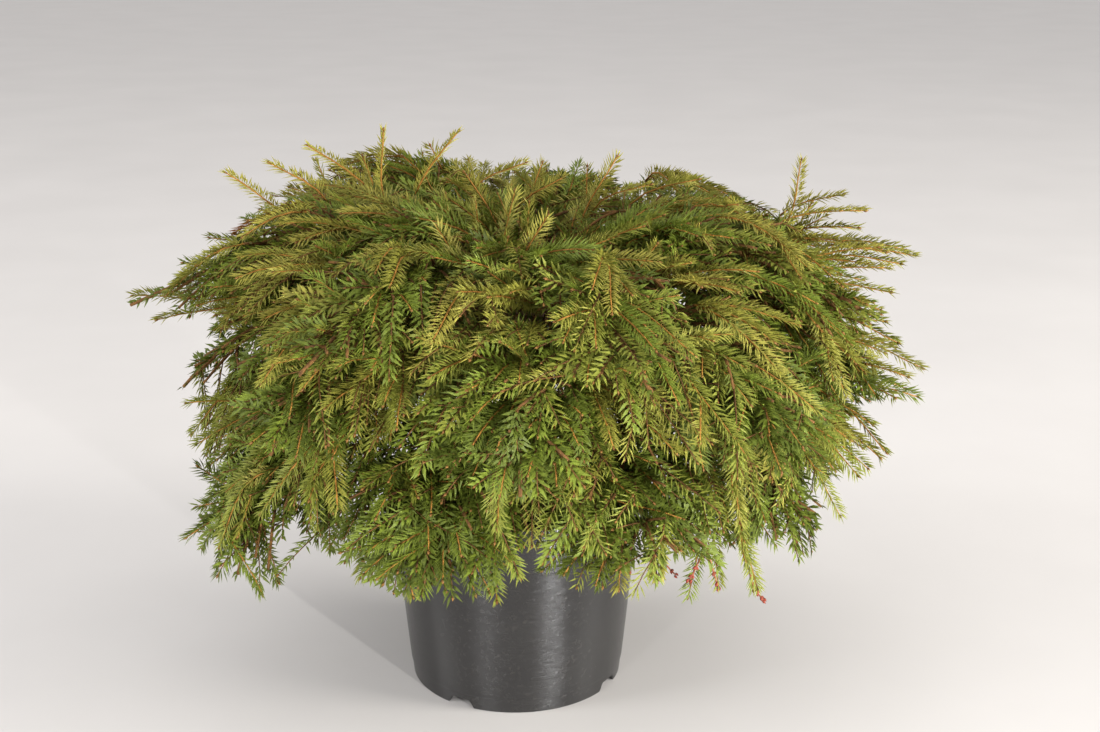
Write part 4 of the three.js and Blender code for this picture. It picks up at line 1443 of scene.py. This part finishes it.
def dead_twigs(batch):
    """Bare twigs in the dark middle of the crown, along each limb from near the trunk to half its length."""
    for limb in LIMBS:
        if limb.get("name") not in DEAD["tiers"]:
            continue
        curve, key = limb["curve"], limb["key"]
        here, n = DEAD["part"][0] * curve.length, 0
        while here < DEAD["part"][1] * curve.length:
            at, along = curve.at(here / curve.length), curve.along(here / curve.length)
            side, over = frames(at, along)
            around = 2 * math.pi * chance(key, n, 71)
            spoke = side * math.cos(around) + over * math.sin(around)
            way = unit(spoke + along * (0.3 + 0.8 * chance(key, n, 72)) + np.array([0, 0, -0.25]))
            line = grow(at, way, mix(*DEAD["length"], chance(key, n, 73)), 0.003, 22)
            free = clear(line.points[1:]) & (line.points[1:, 2] < DEAD["ceiling"])
            count = len(line.points) if free.all() else 1 + int(np.argmin(free))
            if count > 2:
                batch.tube(Curve(line.points[:count]), count - 1, DEAD["radius"], 3)
            here += DEAD["pitch"] * (0.7 + 0.6 * chance(key, n, 74))
            n += 1


def bare_twigs(wood, buds):
    """Twigs without needles that hang from under the crown, with red buds in pairs."""
    for k, row in enumerate(BARE_TWIGS):
        places = np.array([seen_at(*place) for place in row], float)
        twig = bezier(places[0], places[1], places[-2], places[-1], 10)
        wood.tube(twig, 8, (1.0, 0.7), 5, 1)
        for n, share in enumerate((0.66, 0.88, 1.0)):
            at, along = twig.at(share), twig.along(share)
            side, _ = frames(at, along)
            for hand in (-1, 1):
                way = along if share == 1 else unit(along + side * hand * 0.8)
                apart = side * hand * (1.6 if share == 1 else 0.6)
                bud(buds, at + apart, way, 2.7 + 0.8 * chance(k, n, 61), 1, 6)


class Needles:
    """All the needles and their tints, mass by mass."""

    def __init__(self):
        self.corners = {index: [] for index in range(len(LIMBS))}
        self.tints = {index: [] for index in range(len(LIMBS))}

    def add(self, index, corners, tint):
        self.corners[index].append(corners)
        self.tints[index].append(np.full(len(corners), tint))

    def groups(self):
        """The masses, in order, in groups that keep under the limit of triangles."""
        group, count = [], 0
        for index in self.corners:
            triangles = 4 * sum(len(corners) for corners in self.corners[index])
            if count + triangles > MOST_TRIANGLES:
                yield group
                group, count = [], 0
            group.append(index)
            count += triangles
        yield group

    def build(self, looks):
        """A piece for each group, which stands for the masses in it."""
        for number, group in enumerate(self.groups(), 1):
            corners = np.concatenate([part for index in group for part in self.corners[index]]).reshape(-1, 3)
            tints = np.concatenate([part for index in group for part in self.tints[index]])
            faces = (NEEDLE_FACES[None] + 4 * np.arange(len(tints))[:, None, None]).reshape(-1, 3)
            piece = make_object(f"needles_{number}", corners, faces, looks, np.repeat(tints, 4))
            finish_piece(piece, [LIMBS[index]["mass"] for index in group])


def dress_wood(growth, wood, needles):
    """Stems and branchlets as tubes, with the few old needles left on them."""
    for twig in growth.wood:
        curve, index = twig["curve"], twig["mass"]
        wood.tube(curve, max(3, round(curve.length / 14)), twig["radii"], 7 if twig["radii"][0] > 2.5 else 5)
        first, broad = min(0.16 * curve.length, 14), breadth(curve, index)
        old = needle_array(curve, first, curve.length, OLD_NEEDLES, twig["key"] + 5, 0.5, broad)
        # Old needles take the darkest tint: partly their own darker green, partly painted shade of the
        # crown's middle.
        needles.add(index, old, DEEP)


def dress_shoots(growth, stems, buds, needles):
    """Each shoot: its stem, the bud at its end and its needles."""
    for shoot in growth.shoots:
        curve, seed, shade = shoot["curve"], int(shoot["key"]), shoot["shade"]
        steps, thinner = max(3, round(curve.length / 18)), 0.8 if shade else 1
        stems.tube(curve, steps, SHOOT_RADIUS, 3, int(shade), thinner)
        bud(buds, curve.at(1.0), curve.along(1.0), 2.4 + chance(seed % SMALL, 51), sides=3 if shade else 4)
        broad = breadth(curve, shoot["mass"]) if shade else 1.0
        density = INNER_NEEDLES * SHADED_DENSITY if shade else FRESH_DENSITY
        fresh = INNER_FRESH if shade else 1.0
        corners = needle_array(curve, 2, curve.length - 0.5, density, seed, fresh, broad)
        needles.add(shoot["mass"], corners, shade_of(shoot))


def make_crown(needle_looks, shoot_look, wood_look, bare_look, bud_looks):
    """Everything that grows on the limbs: the needles, and the shoots, twigs and buds that bear them."""
    growth = grow_crown()
    stems, wood, buds, needles = Batch(), Batch(), Batch(), Needles()
    dress_wood(growth, wood, needles)
    dress_shoots(growth, stems, buds, needles)
    needles.build(needle_looks)
    dead_twigs(wood)
    bare_twigs(wood, buds)
    finish_piece(stems.build("shoot_stems", [shoot_look, wood_look]))
    finish_piece(wood.build("branchlets", [wood_look, bare_look]))
    finish_piece(buds.build("buds", bud_looks))


# ---- the whole plant

pot_look = pot_material()
bark_look = bark_material()
soil_look = soil_material()
chip_look = twig_material("bark_chip", (120, 84, 58), (62, 42, 30), 300, 0.85)
needle_looks = [needle_material(name, color) for name, color in NEEDLE_TINTS]
shoot_look = twig_material("shoot_bark", (152, 108, 46), (122, 82, 36), 260)
wood_look = twig_material("branchlet_bark", (108, 76, 40), (68, 46, 26), 200, 0.8)
bud_look = twig_material("bud_scales", (126, 92, 46), (88, 56, 28), 500, 0.5)
bare_look = twig_material("bare_twig", (150, 92, 66), (104, 58, 42), 300, 0.6)
red_bud_look = twig_material("bud_red", (140, 66, 50), (86, 38, 30), 500, 0.5)

finish_piece(make_pot(pot_look), ["pot"])
finish_piece(make_soil(soil_look), ["soil"])
finish_piece(make_crumbs([soil_look, chip_look]))
finish_piece(make_trunk(bark_look), ["trunk"])
boughs = make_tubes("bough_bark", [make_bough(limb) for limb in BOUGHS], bark_look)
finish_piece(boughs, [limb["bough"] for limb in BOUGHS])
make_crown(needle_looks, shoot_look, wood_look, bare_look, [bud_look, red_bud_look])

# ---- floor, light and camera


def make_floor():
    half = 30
    mesh = bpy.data.meshes.new("floor")
    corners = [(-half, -half, 0), (half, -half, 0), (half, half, 0), (-half, half, 0)]
    mesh.from_pydata(corners, [], [(0, 1, 2, 3)])
    floor = add_object("floor", mesh)
    m = Nodes("floor")
    cloud = m.noise(3, 4)
    tone = m.ramp(cloud, [(0.2, (200, 196, 193)), (0.8, (206, 202, 199))])
    relief = m.bump(m.noise(60, 3), 0.04, 0.001)
    mesh.materials.append(m.done(tone, m.range(cloud, 0.5, 0.6), relief, Specular_IOR_Level=0.12))


def area_light(name, location, target, size, power, color=(1, 1, 1)):
    data = bpy.data.lights.new(name, "AREA")
    data.shape = "RECTANGLE"
    data.size, data.size_y = size
    data.energy = power
    data.color = color
    light = add_object(name, data)
    light.location = location
    light.rotation_euler = (Vector(target) - Vector(location)).to_track_quat("-Z", "Y").to_euler()


make_floor()
area_light("right", (5.0, -1.3, 2.0), (0.1, 0, 0.3), (1.9, 2.5), 350, (1, 0.98, 0.93))
area_light("left", (-5.0, -1.4, 1.9), (-0.1, 0, 0.3), (1.9, 2.5), 215, (0.98, 0.99, 1))
area_light("right_strip", (1.4, -2.07, 0.24), (0, 0, 0.15), (0.04, 0.43), 95)
area_light("left_strip", (-1.1, -2.25, 0.24), (0, 0, 0.15), (0.16, 0.43), 32)
sky = bpy.data.lights.new("sky", "SUN")
sky.energy = 1.65
sky.angle = 110 * DEG
overhead = add_object("sky", sky)
overhead.location = (0, 0.5, 3)
overhead.rotation_euler = (12 * DEG, 0, 0)

world = bpy.data.worlds.new("studio")
world.use_nodes = True
background = world.node_tree.nodes["Background"]
background.inputs["Color"].default_value = (0.92, 0.92, 0.94, 1)
background.inputs["Strength"].default_value = 0.42
bpy.context.scene.world = world

bpy.context.scene.view_settings.view_transform = "Standard"

camera_data = bpy.data.cameras.new("camera")
camera_data.lens = LENS
camera_data.sensor_width = SENSOR
camera = add_object("camera", camera_data)
camera.location = CAMERA
camera.rotation_euler = (math.radians(90 - TILT), 0, 0)
bpy.context.scene.camera = camera

bpy.context.view_layer.update()
